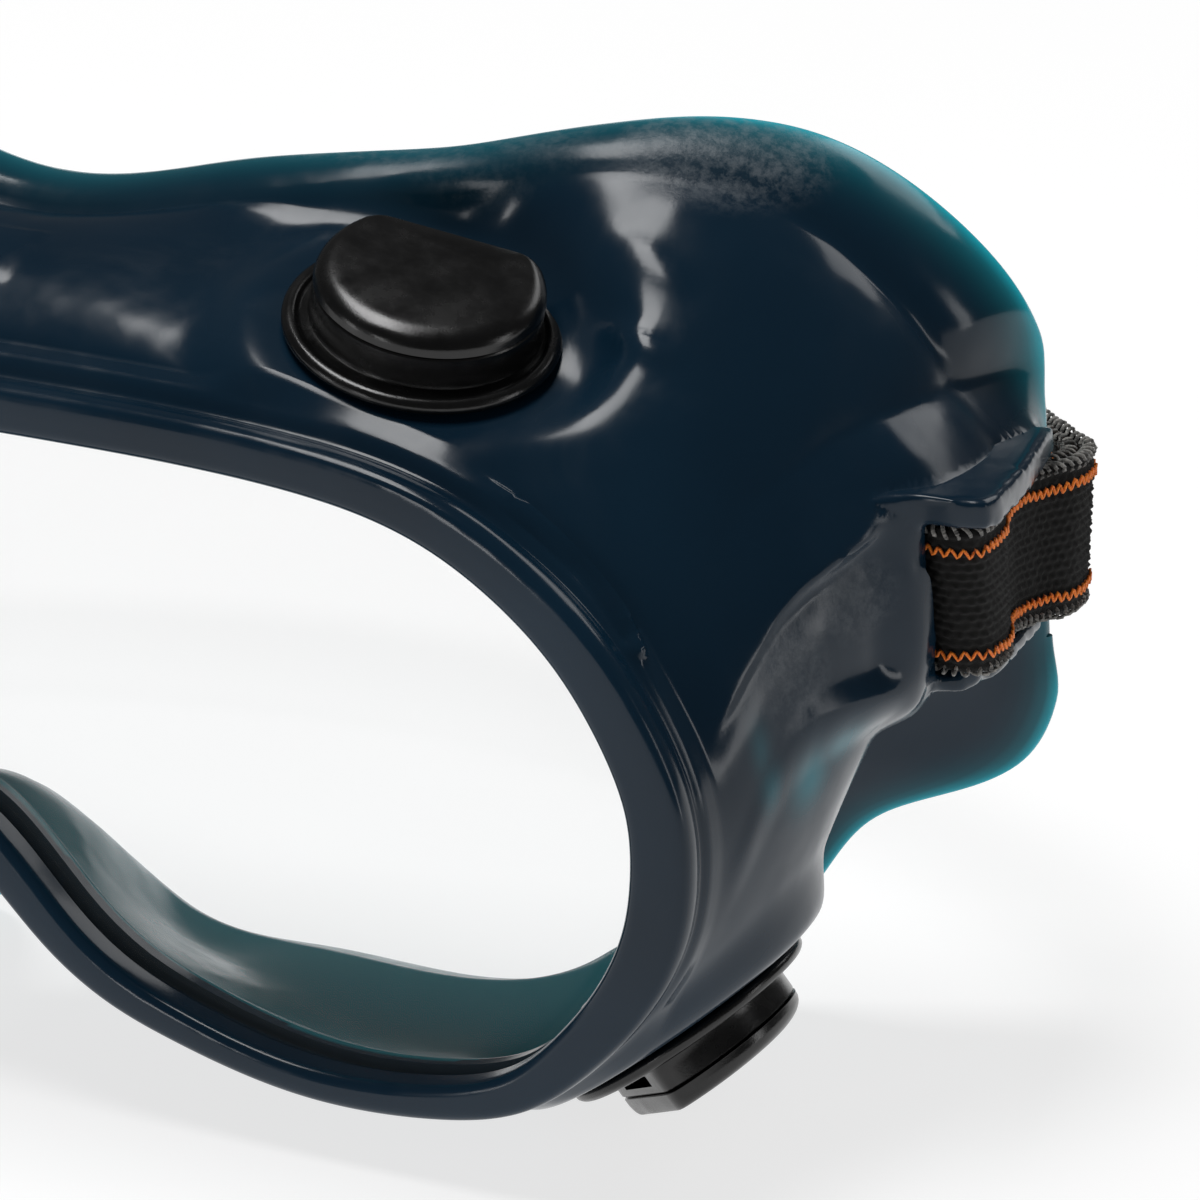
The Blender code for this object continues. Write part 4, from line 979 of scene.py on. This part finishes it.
# ================================================================ body
def build_body(mat):
    rings, n_front, n_outer, n_lip = fine_body()
    columns = 2 * FINE_COLUMNS
    points = rings.reshape(-1, 3)
    faces = rings_to_faces(list(rings), columns)
    # the vents' holes go through both skins
    centre = np.array([points[list(f)].mean(0) for f in faces])
    keep = np.ones(len(faces), bool)
    for which in VENTS:
        for side in (1.0, -1.0):
            c, f = vent_frame(which, side)
            q = (centre - c) @ f
            keep &= ~((np.hypot(q[:, 0], q[:, 1]) < 7.9) & (q[:, 2] > -5.0) & (q[:, 2] < 3.0))
    whole = mesh_object("moulded_body", points, faces, mat, "goggles")
    # strap lugs: solid blocks, pockets cut, bars put in, edges rounded, then grown into the wall
    pockets = scratch("pockets", [lug_pocket(1.0)[0], lug_pocket(-1.0)[0]])
    notches = scratch("notches", [lug_pocket(1.0)[1], lug_pocket(-1.0)[1]])
    lugs = None
    for side in (1.0, -1.0):
        hood, shelf, cheek = lug_shapes(side)
        lug = scratch("lug", [hood])
        for shell in (shelf, cheek):
            other = scratch("shell", [shell])
            boolean(lug, other, "UNION")
            drop(other)
        other = scratch("pocket", [lug_pocket(side)[0]])
        boolean(lug, other, "DIFFERENCE")
        drop(other)
        bar = scratch("bar", lug_post(side))
        boolean(lug, bar, "UNION")
        drop(bar)
        mod = lug.modifiers.new("voxels", "REMESH")
        mod.mode, mod.voxel_size, mod.adaptivity = "VOXEL", 0.00034, 0.0
        baked(lug)
        relax(lug.data, np.ones(len(lug.data.vertices)), 7)
        lug.name = "lug_right" if side > 0 else "lug_left"
        lugs = (lugs or []) + [lug]
    boolean(whole, pockets, "DIFFERENCE")
    boolean(whole, notches, "DIFFERENCE")
    skin_only = BVHTree.FromPolygons([tuple(v.co) for v in whole.data.vertices], [tuple(p.vertices) for p in whole.data.polygons])
    trees = []
    for lug in lugs:
        trees.append(BVHTree.FromPolygons([tuple(v.co) for v in lug.data.vertices], [tuple(p.vertices) for p in lug.data.polygons]))
        boolean(whole, lug, "UNION")
    co = coords(whole.data)
    weight = np.zeros(len(co))
    x0, y0 = 74 * MM, (14 - ORIGIN_Y) * MM
    y1 = (62 - ORIGIN_Y) * MM
    near = np.nonzero((np.abs(co[:, 0]) > x0) & (co[:, 1] > y0) & (co[:, 1] < y1))[0]
    for i in near:
        p = Vector(co[i])
        a = min((tree.find_nearest(p, 0.004)[3] or 0.004) if tree.find_nearest(p, 0.004)[0] is not None else 0.004 for tree in trees)
        hit = skin_only.find_nearest(p, 0.004)
        b = hit[3] if hit[0] is not None else 0.004
        weight[i] = 1.0 - float(smooth((max(a, b) - 0.0004) / 0.0016))
    relax(whole.data, weight, 14)
    drop(pockets, notches, *lugs)
    # colour fields: painted teal backlight near the flange edge and on the inner surfaces, and dusty patches that also
    # carry a painted highlight
    mesh = whole.data
    co = coords(mesh) / MM + np.array([0.0, ORIGIN_Y, GROUND_Z])
    t = np.linspace(0, 1, 400)
    edge = mirrored(ring_flange(t))
    tree = KDTree(len(edge))
    for i, p in enumerate(edge):
        tree.insert(Vector(p), i)
    tree.balance()
    inner_pts = rings[n_front + n_outer + n_lip:-20].reshape(-1, 3)
    outer_pts = rings[:n_front + n_outer + n_lip].reshape(-1, 3)
    both = KDTree(len(inner_pts) + len(outer_pts))
    for i, p in enumerate(np.concatenate([inner_pts, outer_pts])):
        both.insert(Vector(p), i)
    both.balance()
    glow = np.zeros(len(co), np.float32)
    inside = np.zeros(len(co), np.float32)
    for i, p in enumerate(co):
        d = tree.find(Vector(p))[2]
        # painted teal backlight, strongest at the flange edge and stronger on the upper half
        high = float(smooth((p[2] + 20.0) / 10.0))
        glow[i] = math.exp(-(d / (0.95 + 0.5 * high)) ** 2) * 0.80 + math.exp(-(d / (2.8 + 1.2 * high)) ** 2) * (0.20 + 0.15 * high)
        # marks the inner surfaces, which get a painted teal backlight
        inside[i] = 1.0 if both.find(Vector(p))[1] < len(inner_pts) else 0.0
    sides = np.abs(co[:, 0])
    mirrored_co = co.copy()
    mirrored_co[:, 0] = sides
    dust = np.zeros(len(co))
    # dusty patches; their grey tint also paints in a highlight
    for c, r, k in DUST_AND_HIGHLIGHT_PATCHES:
        d = np.linalg.norm((mirrored_co - np.array(c)) / np.array(r), axis=1)
        dust = np.maximum(dust, k * (1.0 - smooth((d - 0.55) / 0.6)))
    # painted teal backlight spots near the lugs
    for c, r, k in PAINTED_GLOW_SPOTS:
        d = np.linalg.norm((mirrored_co - np.array(c)) / np.array(r), axis=1)
        glow = np.maximum(glow, k * np.exp(-(d**2)))
    for name, values in (("glow", glow), ("inside", inside), ("dust", dust)):
        a = mesh.attributes.new(name, "FLOAT", "POINT")
        a.data.foreach_set("value", np.asarray(values, np.float32))
    while len(mesh.materials) > 1:
        mesh.materials.pop()
    mesh.materials[0] = mat
    mesh.polygons.foreach_set("material_index", np.zeros(len(mesh.polygons), np.int32))
    # open the vents' holes
    bm = bmesh.new()
    bm.from_mesh(mesh)
    gone = []
    for f in bm.faces:
        p = np.array(f.calc_center_median()) / MM + np.array([0.0, ORIGIN_Y, GROUND_Z])
        for which in VENTS:
            c, fr = vent_frame(which, 1.0 if p[0] > 0 else -1.0)
            q = (p - c) @ fr
            if math.hypot(q[0], q[1]) < 7.7 and -5.0 < q[2] < 3.0:
                gone.append(f)
    bmesh.ops.delete(bm, geom=list(set(gone)), context="FACES")
    bm.to_mesh(mesh)
    bm.free()
    mesh.shade_smooth()
    mesh.set_sharp_from_angle(angle=math.radians(50.0))
    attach(whole, "goggles")
    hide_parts("goggle_body")
    return whole


# ================================================================ lens
def build_lens(mat):
    t = column_stations(FINE_COLUMNS)
    width = band_of(t)[:, 0]
    edge = np.full(len(t), -GROOVE_DEPTH - GAP)
    y0 = GROOVE_FRONT + GAP
    rings = [mirrored(r) for r in (
        offset_ring(t, -width - 4.0, y0 - LENS_FIELD), offset_ring(t, -width - 1.25, y0 - LENS_FIELD),
        offset_ring(t, -width - 1.05, y0 - LENS_FIELD * 0.75),
        offset_ring(t, -width - 0.9, y0 - 0.02), offset_ring(t, -width - 0.7, y0), offset_ring(t, edge - 0.15, y0),
        offset_ring(t, edge, y0 + 0.15), offset_ring(t, edge, y0 + LENS_THICK - 0.15), offset_ring(t, edge - 0.15, y0 + LENS_THICK),
        offset_ring(t, -width - 4.0, y0 + LENS_THICK),
    )]
    columns = 2 * FINE_COLUMNS
    obj = mesh_object("lens_sheet", np.concatenate(rings), rings_to_faces(rings, columns, False, True), mat, "goggles", 40)
    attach(obj, "goggles")
    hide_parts("lens")
    return obj


# ================================================================ vents
def fillet(points, count=4, radius=0.3):
    """Closed profile with every corner rounded."""
    p = [np.array(q, float) for q in points]
    out = []
    n = len(p)
    for i in range(n):
        a, b, c = p[i - 1], p[i], p[(i + 1) % n]
        u, v = a - b, c - b
        lu, lv = np.linalg.norm(u), np.linalg.norm(v)
        r = min(radius, lu * 0.45, lv * 0.45)
        s, e = b + u / lu * r, b + v / lv * r
        for k in np.linspace(0, 1, count):
            out.append((1 - k) ** 2 * s + 2 * k * (1 - k) * b + k * k * e)
    return [tuple(q) for q in out]


FINE_PROFILE = fillet((
    (7.35, -5.0), (7.9, -4.6), (9.2, -3.7), (9.2, -2.9), (VENT_NECK_R, -2.8), (VENT_NECK_R, GAP),
    (11.6, GAP), (VENT_DISC_R, 0.75), (VENT_DISC_R, 1.25), (11.75, 1.72), (11.1, 1.72), (10.75, 1.28), (7.35, 1.2),
), 4, 0.28)


def fine_d(radius, flat, corner, shift=0.0):
    return d_outline(radius, flat, corner, 64, shift)


def build_vent(which, side, label, mat):
    frame = vent_frame(which, side)
    hood = (frame[0] + frame[1][:, 0] * HOOD_SHIFT, frame[1])
    disc = mesh_object("disc", *turned(FINE_PROFILE, frame, 96), mat, None)
    # neck: a D-shaped tube with its rim rounded
    outer, inner = VENT_HOOD_R, VENT_BORE_R
    sections = [(fine_d(inner, VENT_BORE_FLAT, 0.8), -4.9), (fine_d(inner, VENT_BORE_FLAT, 0.8), VENT_PARTING - 0.15),
                (fine_d(inner + 0.12, VENT_BORE_FLAT + 0.12, 0.8), VENT_PARTING),
                (fine_d(outer - 0.12, VENT_HOOD_FLAT - 0.12, 1.2), VENT_PARTING), (fine_d(outer, VENT_HOOD_FLAT, 1.2), VENT_PARTING - 0.14),
                (fine_d(outer, VENT_HOOD_FLAT, 1.2), 2.6), (fine_d(outer, VENT_HOOD_FLAT, 1.2), 1.55),
                (fine_d(outer + 0.16, VENT_HOOD_FLAT + 0.16, 1.2), 1.26), (fine_d(outer + 0.1, VENT_HOOD_FLAT + 0.1, 1.2), 0.9),
                (fine_d(7.2, 5.8, 0.9), 0.6), (fine_d(7.0, 5.6, 0.9), -4.9)]
    c, f = hood
    n = len(sections[0][0])
    points = [c + f @ np.array([x, y, h]) for outline, h in sections for x, y in outline]
    faces = []
    count = len(sections)
    for i in range(count):
        j = (i + 1) % count
        for k in range(n):
            m = (k + 1) % n
            faces.append((i * n + k, i * n + m, j * n + m, j * n + k))
    neck = mesh_object("neck", points, faces, mat, None)
    boolean(neck, scratch_box(hood, (3.0, -4.2, 2.3), (9.5, 4.2, 3.4)), "DIFFERENCE")
    base = disc
    boolean(base, neck, "UNION")
    drop(neck)
    base.name = f"vent_body_{which}_{label}"
    base.data.name = base.name
    # lid: crowned top with a wide round-over in front and a tight one at the flat
    low, top = VENT_PARTING + GAP * 0.45, VENT_TOP
    steps = [(low + 0.10, -0.02, 0.0, 0.0), (low + 0.16, 0.0, 0.0, 0.0)]
    for a in np.linspace(0, 90, 9)[1:]:
        s = 1 - math.cos(math.radians(a))
        steps.append((top - 1.75 + 1.62 * math.sin(math.radians(a)), 1.75 * s, 0.85 * s, 0.32 * s))
    outlines = [(fine_d(VENT_HOOD_R - inset, VENT_HOOD_FLAT - back, 1.2 - 0.3 * inset, shift), h) for h, inset, shift, back in steps]
    first = [(fine_d(VENT_HOOD_R - 0.12, VENT_HOOD_FLAT - 0.12, 1.2), low)]
    last = outlines[-1][0]
    mid = np.array(last).mean(0)
    crown = []
    for s in (0.8, 0.55, 0.3, 0.1):
        crown.append(([tuple(mid + (np.array(q) - mid) * s) for q in last], top - 0.13 + 0.13 * (1 - s * s)))
    hollow = [([tuple(mid + (np.array(q) - mid) * s) for q in fine_d(VENT_BORE_R, VENT_BORE_FLAT, 0.8)], h) for s, h in
              ((0.1, top - 1.1), (0.6, top - 1.1), (0.97, top - 1.15), (1.0, top - 1.4), (1.0, low))]
    sections = hollow + first + outlines + crown
    points = [c + f @ np.array([x, y, h]) for outline, h in sections for x, y in outline]
    faces = []
    for i in range(len(sections) - 1):
        for k in range(n):
            m = (k + 1) % n
            faces.append((i * n + k, i * n + m, (i + 1) * n + m, (i + 1) * n + k))
    faces += [tuple(range(n)), tuple((len(sections) - 1) * n + k for k in reversed(range(n)))]
    lid = mesh_object(f"vent_hood_{which}_{label}", points, faces, mat, None, 50)
    base.data.shade_smooth()
    base.data.set_sharp_from_angle(angle=math.radians(38.0))
    body = f"vent_{which}_{label}"
    for obj, cad in ((base, f"vent_base_{which}_{label}"), (lid, f"vent_lid_{which}_{label}")):
        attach(obj, body)
        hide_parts(cad)


def scratch_box(frame, lo, hi):
    return scratch("cutter_box", [box(frame, lo, hi)])


# ================================================================ strap
def strip_plan():
    """Plan path of the whole elastic: from its sewn end inside on the left, round both bars, to its loose end."""
    r = POST_R + GAP + STRAP_THICK / 2

    def leg(sign):
        outer = [(88.0, 60.5 - 0.2), (88.7, 57.7), (88.7, 55.0), (87.2, 51.6), (86.4, 47.8), (87.0, 43.6), (88.5, 40.0)]
        turn = [(POST_X + r * math.cos(a), POST_Y + r * math.sin(a)) for a in np.radians([0, -36, -72, -108, -144, -180])]
        inner = [(83.85, 40.0), (83.9, 43.6), (84.7, 48.0), (85.6, 52.0), (87.0, 55.2), (87.1, 57.6), (86.2, 59.8)]
        return [(sign * x, y) for x, y in outer], [(sign * x, y) for x, y in turn], [(sign * x, y) for x, y in inner]

    def arc(radius, a0, a1, count):
        return [arc_point(radius, a) for a in np.radians(np.linspace(a0, a1, count))]

    lo, lt, li = leg(-1.0)
    ro, rt, ri = leg(1.0)
    path = arc(BAND_R - LAYER, -36.0, -44.8, 6) + li[::-1] + lt[::-1] + lo[::-1]
    path += arc(BAND_R, -44.8, 44.8, 45)
    path += ro + rt + ri + arc(BAND_R - LAYER, 44.8, 3.5, 21)
    return path


def strip_frames(step):
    """Samples of the elastic: place, tangent, width direction and thickness direction (away from the head)."""
    plan = smooth_path(strip_plan(), 4000)
    length = np.concatenate([[0], np.cumsum(np.linalg.norm(np.diff(plan, axis=0), axis=1))])
    count = int(length[-1] / step)
    at = np.linspace(0, length[-1], count)
    plan = np.stack([np.interp(at, length, plan[:, k]) for k in (0, 1)], 1)

    def lift(z):
        out = []
        for x, y in plan:
            side = 1.0 if x >= 0 else -1.0
            a = lug_frame(side, ease=True)(abs(x), y, LUG_PIVOT_Z + z)
            b = band_frame(side)(abs(x), y, LUG_PIVOT_Z + z)
            w = float(smooth((y - 59.0) / 13.0))
            out.append(a * (1 - w) + b * w)
        return np.array(out)

    middle, high, low = lift(0.0), lift(STRAP_WIDTH / 2), lift(-STRAP_WIDTH / 2)
    wide = (high - low) / STRAP_WIDTH
    tangent = np.gradient(middle, axis=0)
    tangent /= np.linalg.norm(tangent, axis=1, keepdims=True)
    thick = np.cross(tangent, wide)
    thick /= np.linalg.norm(thick, axis=1, keepdims=True)
    return at, middle, tangent, wide, thick


def tube(path, radius, sides=5):
    """Points and faces of a thin round thread along a path."""
    path = np.asarray(path, float)
    t = np.gradient(path, axis=0)
    t /= np.linalg.norm(t, axis=1, keepdims=True) + 1e-12
    ref = np.tile([0.0, 0.0, 1.0], (len(t), 1))
    ref[np.abs(t[:, 2]) > 0.9] = (1.0, 0.0, 0.0)
    u = np.cross(t, ref)
    u /= np.linalg.norm(u, axis=1, keepdims=True)
    v = np.cross(t, u)
    rings = [path + radius * (u * math.cos(a) + v * math.sin(a)) for a in np.linspace(0, 2 * math.pi, sides, endpoint=False)]
    points = np.array(rings).transpose(1, 0, 2).reshape(-1, 3)
    n = len(path)
    i = np.arange(n - 1)[:, None] * sides
    k = np.arange(sides)[None, :]
    m = (k + 1) % sides
    faces = np.stack([i + k, i + m, i + sides + m, i + sides + k], -1).reshape(-1, 4)
    return points, faces


def strip_object(name, pieces, mat, uvs):
    points, faces, uv = [], [], []
    base = 0
    for (p, f), w in zip(pieces, uvs):
        points.append(p)
        faces.append(np.asarray(f) + base)
        uv.append(w)
        base += len(p)
    points, faces, uv = np.concatenate(points), np.concatenate(faces), np.concatenate(uv)
    mesh = bpy.data.meshes.new(name)
    mesh.from_pydata(place(points).tolist(), [], faces.tolist())
    layer = mesh.uv_layers.new(name="strip")
    loops = np.empty(len(mesh.loops), np.int32)
    mesh.loops.foreach_get("vertex_index", loops)
    layer.data.foreach_set("uv", uv[loops].astype(np.float32).ravel())
    mesh.validate()
    mesh.shade_smooth()
    mesh.materials.append(mat)
    obj = bpy.data.objects.new(name, mesh)
    bpy.context.scene.collection.objects.link(obj)
    return obj


def build_strap(knit, orange, picot):
    at, middle, tangent, wide, thick = strip_frames(0.3)
    n = len(at)
    half_w, half_t = STRAP_WIDTH / 2 - 0.25, STRAP_THICK / 2
    v = np.linspace(-1, 1, 73)
    ring = []
    uv = []
    s = at[:, None]
    for sign in (1.0, -1.0):
        across = v * sign
        vv = across[None, :] * half_w
        row = np.round(vv / 0.82)
        rib = np.cos(2 * np.pi * s / 1.05 + np.pi * row)
        wale = np.cos(2 * np.pi * vv / 0.82)
        lumps = np.sin(s * 3.1 + vv * 4.7 + 1.7 * np.sin(s * 0.83)) * np.sin(s * 5.3 - vv * 3.3 + 1.3 * np.sin(vv * 2.1))
        knit_h = 0.15 * rib * (0.55 + 0.45 * wale) + 0.08 * wale + 0.07 * lumps
        edge = np.sqrt(np.clip(1 - (np.abs(across[None, :]) ** 10), 0, 1))
        height = sign * (half_t - 0.19 + knit_h) * (0.35 + 0.65 * edge)
        p = middle[:, None, :] + wide[:, None, :] * vv[:, :, None] + thick[:, None, :] * height[:, :, None]
        ring.append(p)
        uv.append(np.stack([np.broadcast_to(s, height.shape), np.broadcast_to(vv + (0 if sign > 0 else 40.0), height.shape)], -1))
    grid = np.concatenate(ring, 1)
    uvs = np.concatenate(uv, 1)
    m = grid.shape[1]
    i = np.arange(n - 1)[:, None] * m
    k = np.arange(m)[None, :]
    j = (k + 1) % m
    faces = np.stack([i + k, i + j, i + m + j, i + m + k], -1).reshape(-1, 4)
    strap = strip_object("elastic_headband", [(grid.reshape(-1, 3), faces)], knit, [uvs.reshape(-1, 2) * 0.6])
    bm = bmesh.new()
    bm.from_mesh(strap.data)
    bmesh.ops.holes_fill(bm, edges=[e for e in bm.edges if e.is_boundary], sides=0)
    bmesh.ops.recalc_face_normals(bm, faces=bm.faces)
    bm.to_mesh(strap.data)
    bm.free()
    strap.data.shade_smooth()

    def along(positions, across, out):
        p = np.stack([np.interp(positions, at, middle[:, k]) for k in range(3)], 1)
        w = np.stack([np.interp(positions, at, wide[:, k]) for k in range(3)], 1)
        q = np.stack([np.interp(positions, at, thick[:, k]) for k in range(3)], 1)
        return p + w * across[:, None] + q * out[:, None]

    total = at[-1]
    zig, zuv = [], []
    pitch = 0.88
    for face in (1.0, -1.0):
        for edge in (1.0, -1.0):
            pos = np.arange(0.4, total - 0.4, pitch / 6)
            phase = pos / pitch * 2 * np.pi
            wave = np.arcsin(np.sin(phase)) / (np.pi / 2)
            drift = 0.10 * np.sin(pos * 0.7) + 0.06 * np.sin(pos * 1.9 + edge)
            across = edge * (5.15 + drift + 0.48 * wave)
            out = face * (half_t + 0.045 + 0.05 * np.abs(wave))
            zig.append(tube(along(pos, across, np.broadcast_to(out, pos.shape)), 0.155, 5))
            zuv.append(np.repeat(np.stack([pos, across], 1), 5, 0))
    threads = strip_object("zigzag_thread", zig, orange, zuv)
    pic, puv = [], []
    for edge in (1.0, -1.0):
        pos = np.arange(0.2, total - 0.2, 0.92 / 9)
        phase = pos / 0.92 * 2 * np.pi
        size = 0.50 + 0.09 * np.sin(pos * 1.3 + edge) + 0.05 * np.sin(pos * 3.1)
        across = edge * (half_w - 0.15 + size * np.cos(phase))
        out = (half_t * 0.95) * np.sin(phase)
        pic.append(tube(along(pos + 0.16 * np.sin(phase), across, out), 0.19, 5))
        puv.append(np.repeat(np.stack([pos, across], 1), 5, 0))
    edges = strip_object("picot_edges", pic, picot, puv)
    start = place((0.0, 56.0, LUG_PIVOT_Z))
    end = place((0.0, 74.0, LUG_PIVOT_Z))
    for obj in (strap, threads, edges):
        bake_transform(obj)
    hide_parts("strap_loop_right", "strap_loop_left", "headband", "strap_return_right", "strap_return_left")
    return total


# ================================================================ slider
def build_slider(mat):
    at = band_frame()
    mid = BAND_R - LAYER / 2
    inner_half = LAYER / 2 + STRAP_THICK / 2 + GAP
    outer_half = inner_half + 1.5
    half_len = 7.0 / mid
    rings = []
    for a in np.linspace(SLIDER_ANGLE - half_len, SLIDER_ANGLE + half_len, 13):
        row = []
        for half_r, half_z in ((outer_half, STRAP_WIDTH / 2 + 2.3), (inner_half, STRAP_WIDTH / 2 + 0.4)):
            for sr, sz in ((-1, -1), (1, -1), (1, 1), (-1, 1)):
                row.append(at(*arc_point(mid + sr * half_r, a), LUG_PIVOT_Z + sz * half_z))
        rings.append(row)
    points = [p for row in rings for p in row]
    faces = []
    for i in range(len(rings) - 1):
        for base in (0, 4):
            for k in range(4):
                m = (k + 1) % 4
                quad = (i * 8 + base + k, i * 8 + base + m, (i + 1) * 8 + base + m, (i + 1) * 8 + base + k)
                faces.append(quad if base == 0 else quad[::-1])
    for i, flip in ((0, True), (len(rings) - 1, False)):
        for k in range(4):
            m = (k + 1) % 4
            quad = (i * 8 + k, i * 8 + m, i * 8 + 4 + m, i * 8 + 4 + k)
            faces.append(quad if flip else quad[::-1])
    slider = mesh_object("band_slider", points, faces, mat, None)
    windows = []
    for offset in (-2.9, 2.9):
        a = SLIDER_ANGLE + offset / mid
        rad = np.array([math.sin(a), math.cos(a), 0.0])
        tan = np.array([math.cos(a), -math.sin(a), 0.0])
        middle = np.array([*arc_point(mid + outer_half, a), LUG_PIVOT_Z])
        pts = [middle + tan * sx * 1.9 + rad * sy * 2.0 + np.array([0, 0, 1.0]) * sz * (STRAP_WIDTH / 2 - 0.6)
               for sz in (-1, 1) for sx, sy in ((-1, -1), (1, -1), (1, 1), (-1, 1))]
        quads = [(0, 1, 5, 4), (1, 2, 6, 5), (2, 3, 7, 6), (3, 0, 4, 7), (3, 2, 1, 0), (4, 5, 6, 7)]
        windows.append(([at(*p) for p in pts], quads))
    tool = scratch("slider_windows", windows)
    boolean(slider, tool, "DIFFERENCE")
    drop(tool)
    mod = slider.modifiers.new("edges", "BEVEL")
    mod.width, mod.segments, mod.limit_method, mod.angle_limit = 0.00045, 3, "ANGLE", math.radians(40)
    baked(slider)
    slider.data.shade_smooth()
    slider.data.set_sharp_from_angle(angle=math.radians(45.0))
    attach(slider, "slider")
    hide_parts("strap_slider")


# ================================================================ stage
def area_light(name, location, target, size, power, colour=(1.0, 1.0, 1.0), size_y=None):
    light = bpy.data.lights.new(name, "AREA")
    light.energy = power
    light.color = colour
    light.size = size
    if size_y:
        light.shape, light.size_y = "RECTANGLE", size_y
    obj = bpy.data.objects.new(name, light)
    obj.location = location
    obj.rotation_euler = (Vector(target) - Vector(location)).to_track_quat("-Z", "Y").to_euler()
    bpy.context.scene.collection.objects.link(obj)
    return obj


def build_stage():
    mesh = bpy.data.meshes.new("floor")
    mesh.from_pydata([(-6, -6, 0), (6, -6, 0), (6, 6, 0), (-6, 6, 0)], [], [(0, 1, 2, 3)])
    floor = bpy.data.objects.new("floor", mesh)
    bpy.context.scene.collection.objects.link(floor)
    mesh.materials.append(floor_material())
    world = bpy.data.worlds.new("studio")
    world.use_nodes = True
    world.node_tree.nodes["Background"].inputs["Color"].default_value = (1.0, 1.0, 1.0, 1.0)
    world.node_tree.nodes["Background"].inputs["Strength"].default_value = 0.07
    bpy.context.scene.world = world
    azimuth, elevation = math.radians(26.0), math.radians(22.0)
    to_camera = Vector((math.sin(azimuth) * math.cos(elevation), -math.cos(azimuth) * math.cos(elevation), math.sin(elevation)))
    target = Vector((0.069, -ORIGIN_Y * MM, -GROUND_Z * MM))
    data = bpy.data.cameras.new("photo_angle")
    data.lens, data.sensor_width = 216.0, 36.0
    data.clip_start, data.clip_end = 0.01, 20.0
    camera = bpy.data.objects.new("photo_angle", data)
    camera.location = target + to_camera * 0.6
    camera.rotation_euler = (-to_camera).to_track_quat("-Z", "Y").to_euler()
    bpy.context.scene.collection.objects.link(camera)
    bpy.context.scene.camera = camera
    bpy.context.scene.view_settings.view_transform = "Standard"
    middle = Vector((0.03, 0.0, 0.05))
    area_light("key_softbox", middle + Vector((-0.14, -0.03, 0.82)), middle, 0.50, 5.2, size_y=0.32)
    area_light("side_softbox", middle + Vector((0.86, 0.12, 0.14)), middle, 0.13, 0.55, size_y=0.40)
    area_light("front_strip_left", middle + Vector((-0.72, -0.80, 0.10)), middle, 0.08, 1.1, size_y=0.50)
    area_light("front_strip_right", middle + Vector((-0.22, -1.05, 0.12)), middle, 0.08, 1.0, size_y=0.50)
    area_light("back_softbox", middle + Vector((0.25, 0.80, 0.55)), middle, 0.60, 1.3, size_y=0.30)


# ================================================================ everything
SEAT_BORDER = 8.0
SHOULDER = 3.0
UPPER_RIDGE = ((5.0, 9.3, 12.3, 16.3, 18.9, 23.2, 28.0, 33.3, 42.0, 52.0, 60.0),
               (-16.5, -12.2, -9.3, -5.8, -4.2, -2.6, -1.0, -0.5, -0.9, -1.8, -2.2))
LOWER_RIDGE = ((5.0, 8.2, 11.6, 13.3, 15.3, 18.0, 22.3, 28.2, 33.0, 60.0), (-29.0, -25.9, -21.1, -19.0, -16.9, -15.5, -15.3, -15.8, -18.0, -21.0))
GUTTER = 1.8
# path, height, width, taper
BEZEL_RIBS = (
    (((52.5, 5.3, 7.6), (59.5, 5.7, 4.3), (64.6, 6.0, 0.5), (68.0, 5.9, -3.1), (70.2, 4.9, -6.1)), 0.75, 0.62, 0.35),
    (((54.5, 4.6, 6.0), (60.5, 4.5, 2.8), (64.8, 4.7, -0.3), (67.4, 4.6, -3.1), (69.0, 4.6, -5.0)), -0.55, 0.70, 0.35),
)
RIBS = (
    (((53.0, 30.5, 17.0), (53.9, 29.0, 15.8), (55.4, 27.0, 15.5)), 0.45, 1.1, 0.45),
    (((57.4, 25.0, 15.3), (59.5, 23.4, 14.8), (63.0, 22.1, 13.9), (66.4, 22.9, 12.9)), 0.55, 1.2, 0.4),
    (((56.0, 31.5, 20.6), (58.5, 29.5, 20.0), (61.5, 28.2, 18.8), (65.0, 27.8, 17.0)), 0.35, 1.5, 0.4),
)
PINCHES = ()
PLATE_X, PLATE_Y = 5.6, (10.5, 18.6)
# dusty patches whose grey tint also paints in a highlight: centre, radii, strength; x stands for both sides
DUST_AND_HIGHLIGHT_PATCHES = (
    ((60.3, 42.6, 25.5), (11.0, 9.0, 5.0), 1.0), ((30.0, 37.0, 21.5), (22.0, 4.5, 3.5), 0.8), ((45.0, 40.0, 24.0), (12.0, 5.0, 3.5), 0.7),
    ((81.2, 24.5, -6.5), (4.0, 5.0, 4.0), 0.45), ((79.4, 16.5, -11.0), (4.0, 4.5, 5.5), 0.40),
)
# painted teal backlight spots near the lugs, same columns
PAINTED_GLOW_SPOTS = (
    ((80.3, 18.3, -21.3), (2.6, 2.4, 2.6), 0.30), ((81.2, 22.6, -19.1), (2.2, 3.0, 1.8), 0.22),
    ((79.0, 12.6, -20.3), (2.0, 1.2, 2.0), 0.16), ((78.4, 11.8, -16.4), (1.6, 1.0, 2.4), 0.10),
)


def dress_scene():
    pvc, plastic = pvc_material(), plastic_material()
    build_body(pvc)
    build_lens(lens_material())
    for which in VENTS:
        for side, label in ((1.0, "right"), (-1.0, "left")):
            build_vent(which, side, label, plastic)
    length = build_strap(knit_material(),
                         thread_material("orange_thread", (0.80, 0.13, 0.003), (1.0, 0.27, 0.008), 6.0, 0.5, 0.1),
                         thread_material("grey_edge_yarn", (0.035, 0.034, 0.032), (0.30, 0.29, 0.27), 4.0, 0.75, 0.3))
    build_slider(plastic_material("black_slider_plastic", 0.30, 0.50, 1100.0))
    for tool in [o for o in bpy.data.objects if o.name.startswith("cutter_box")]:
        drop(tool)
    build_stage()
    return length


strap_length = dress_scene()
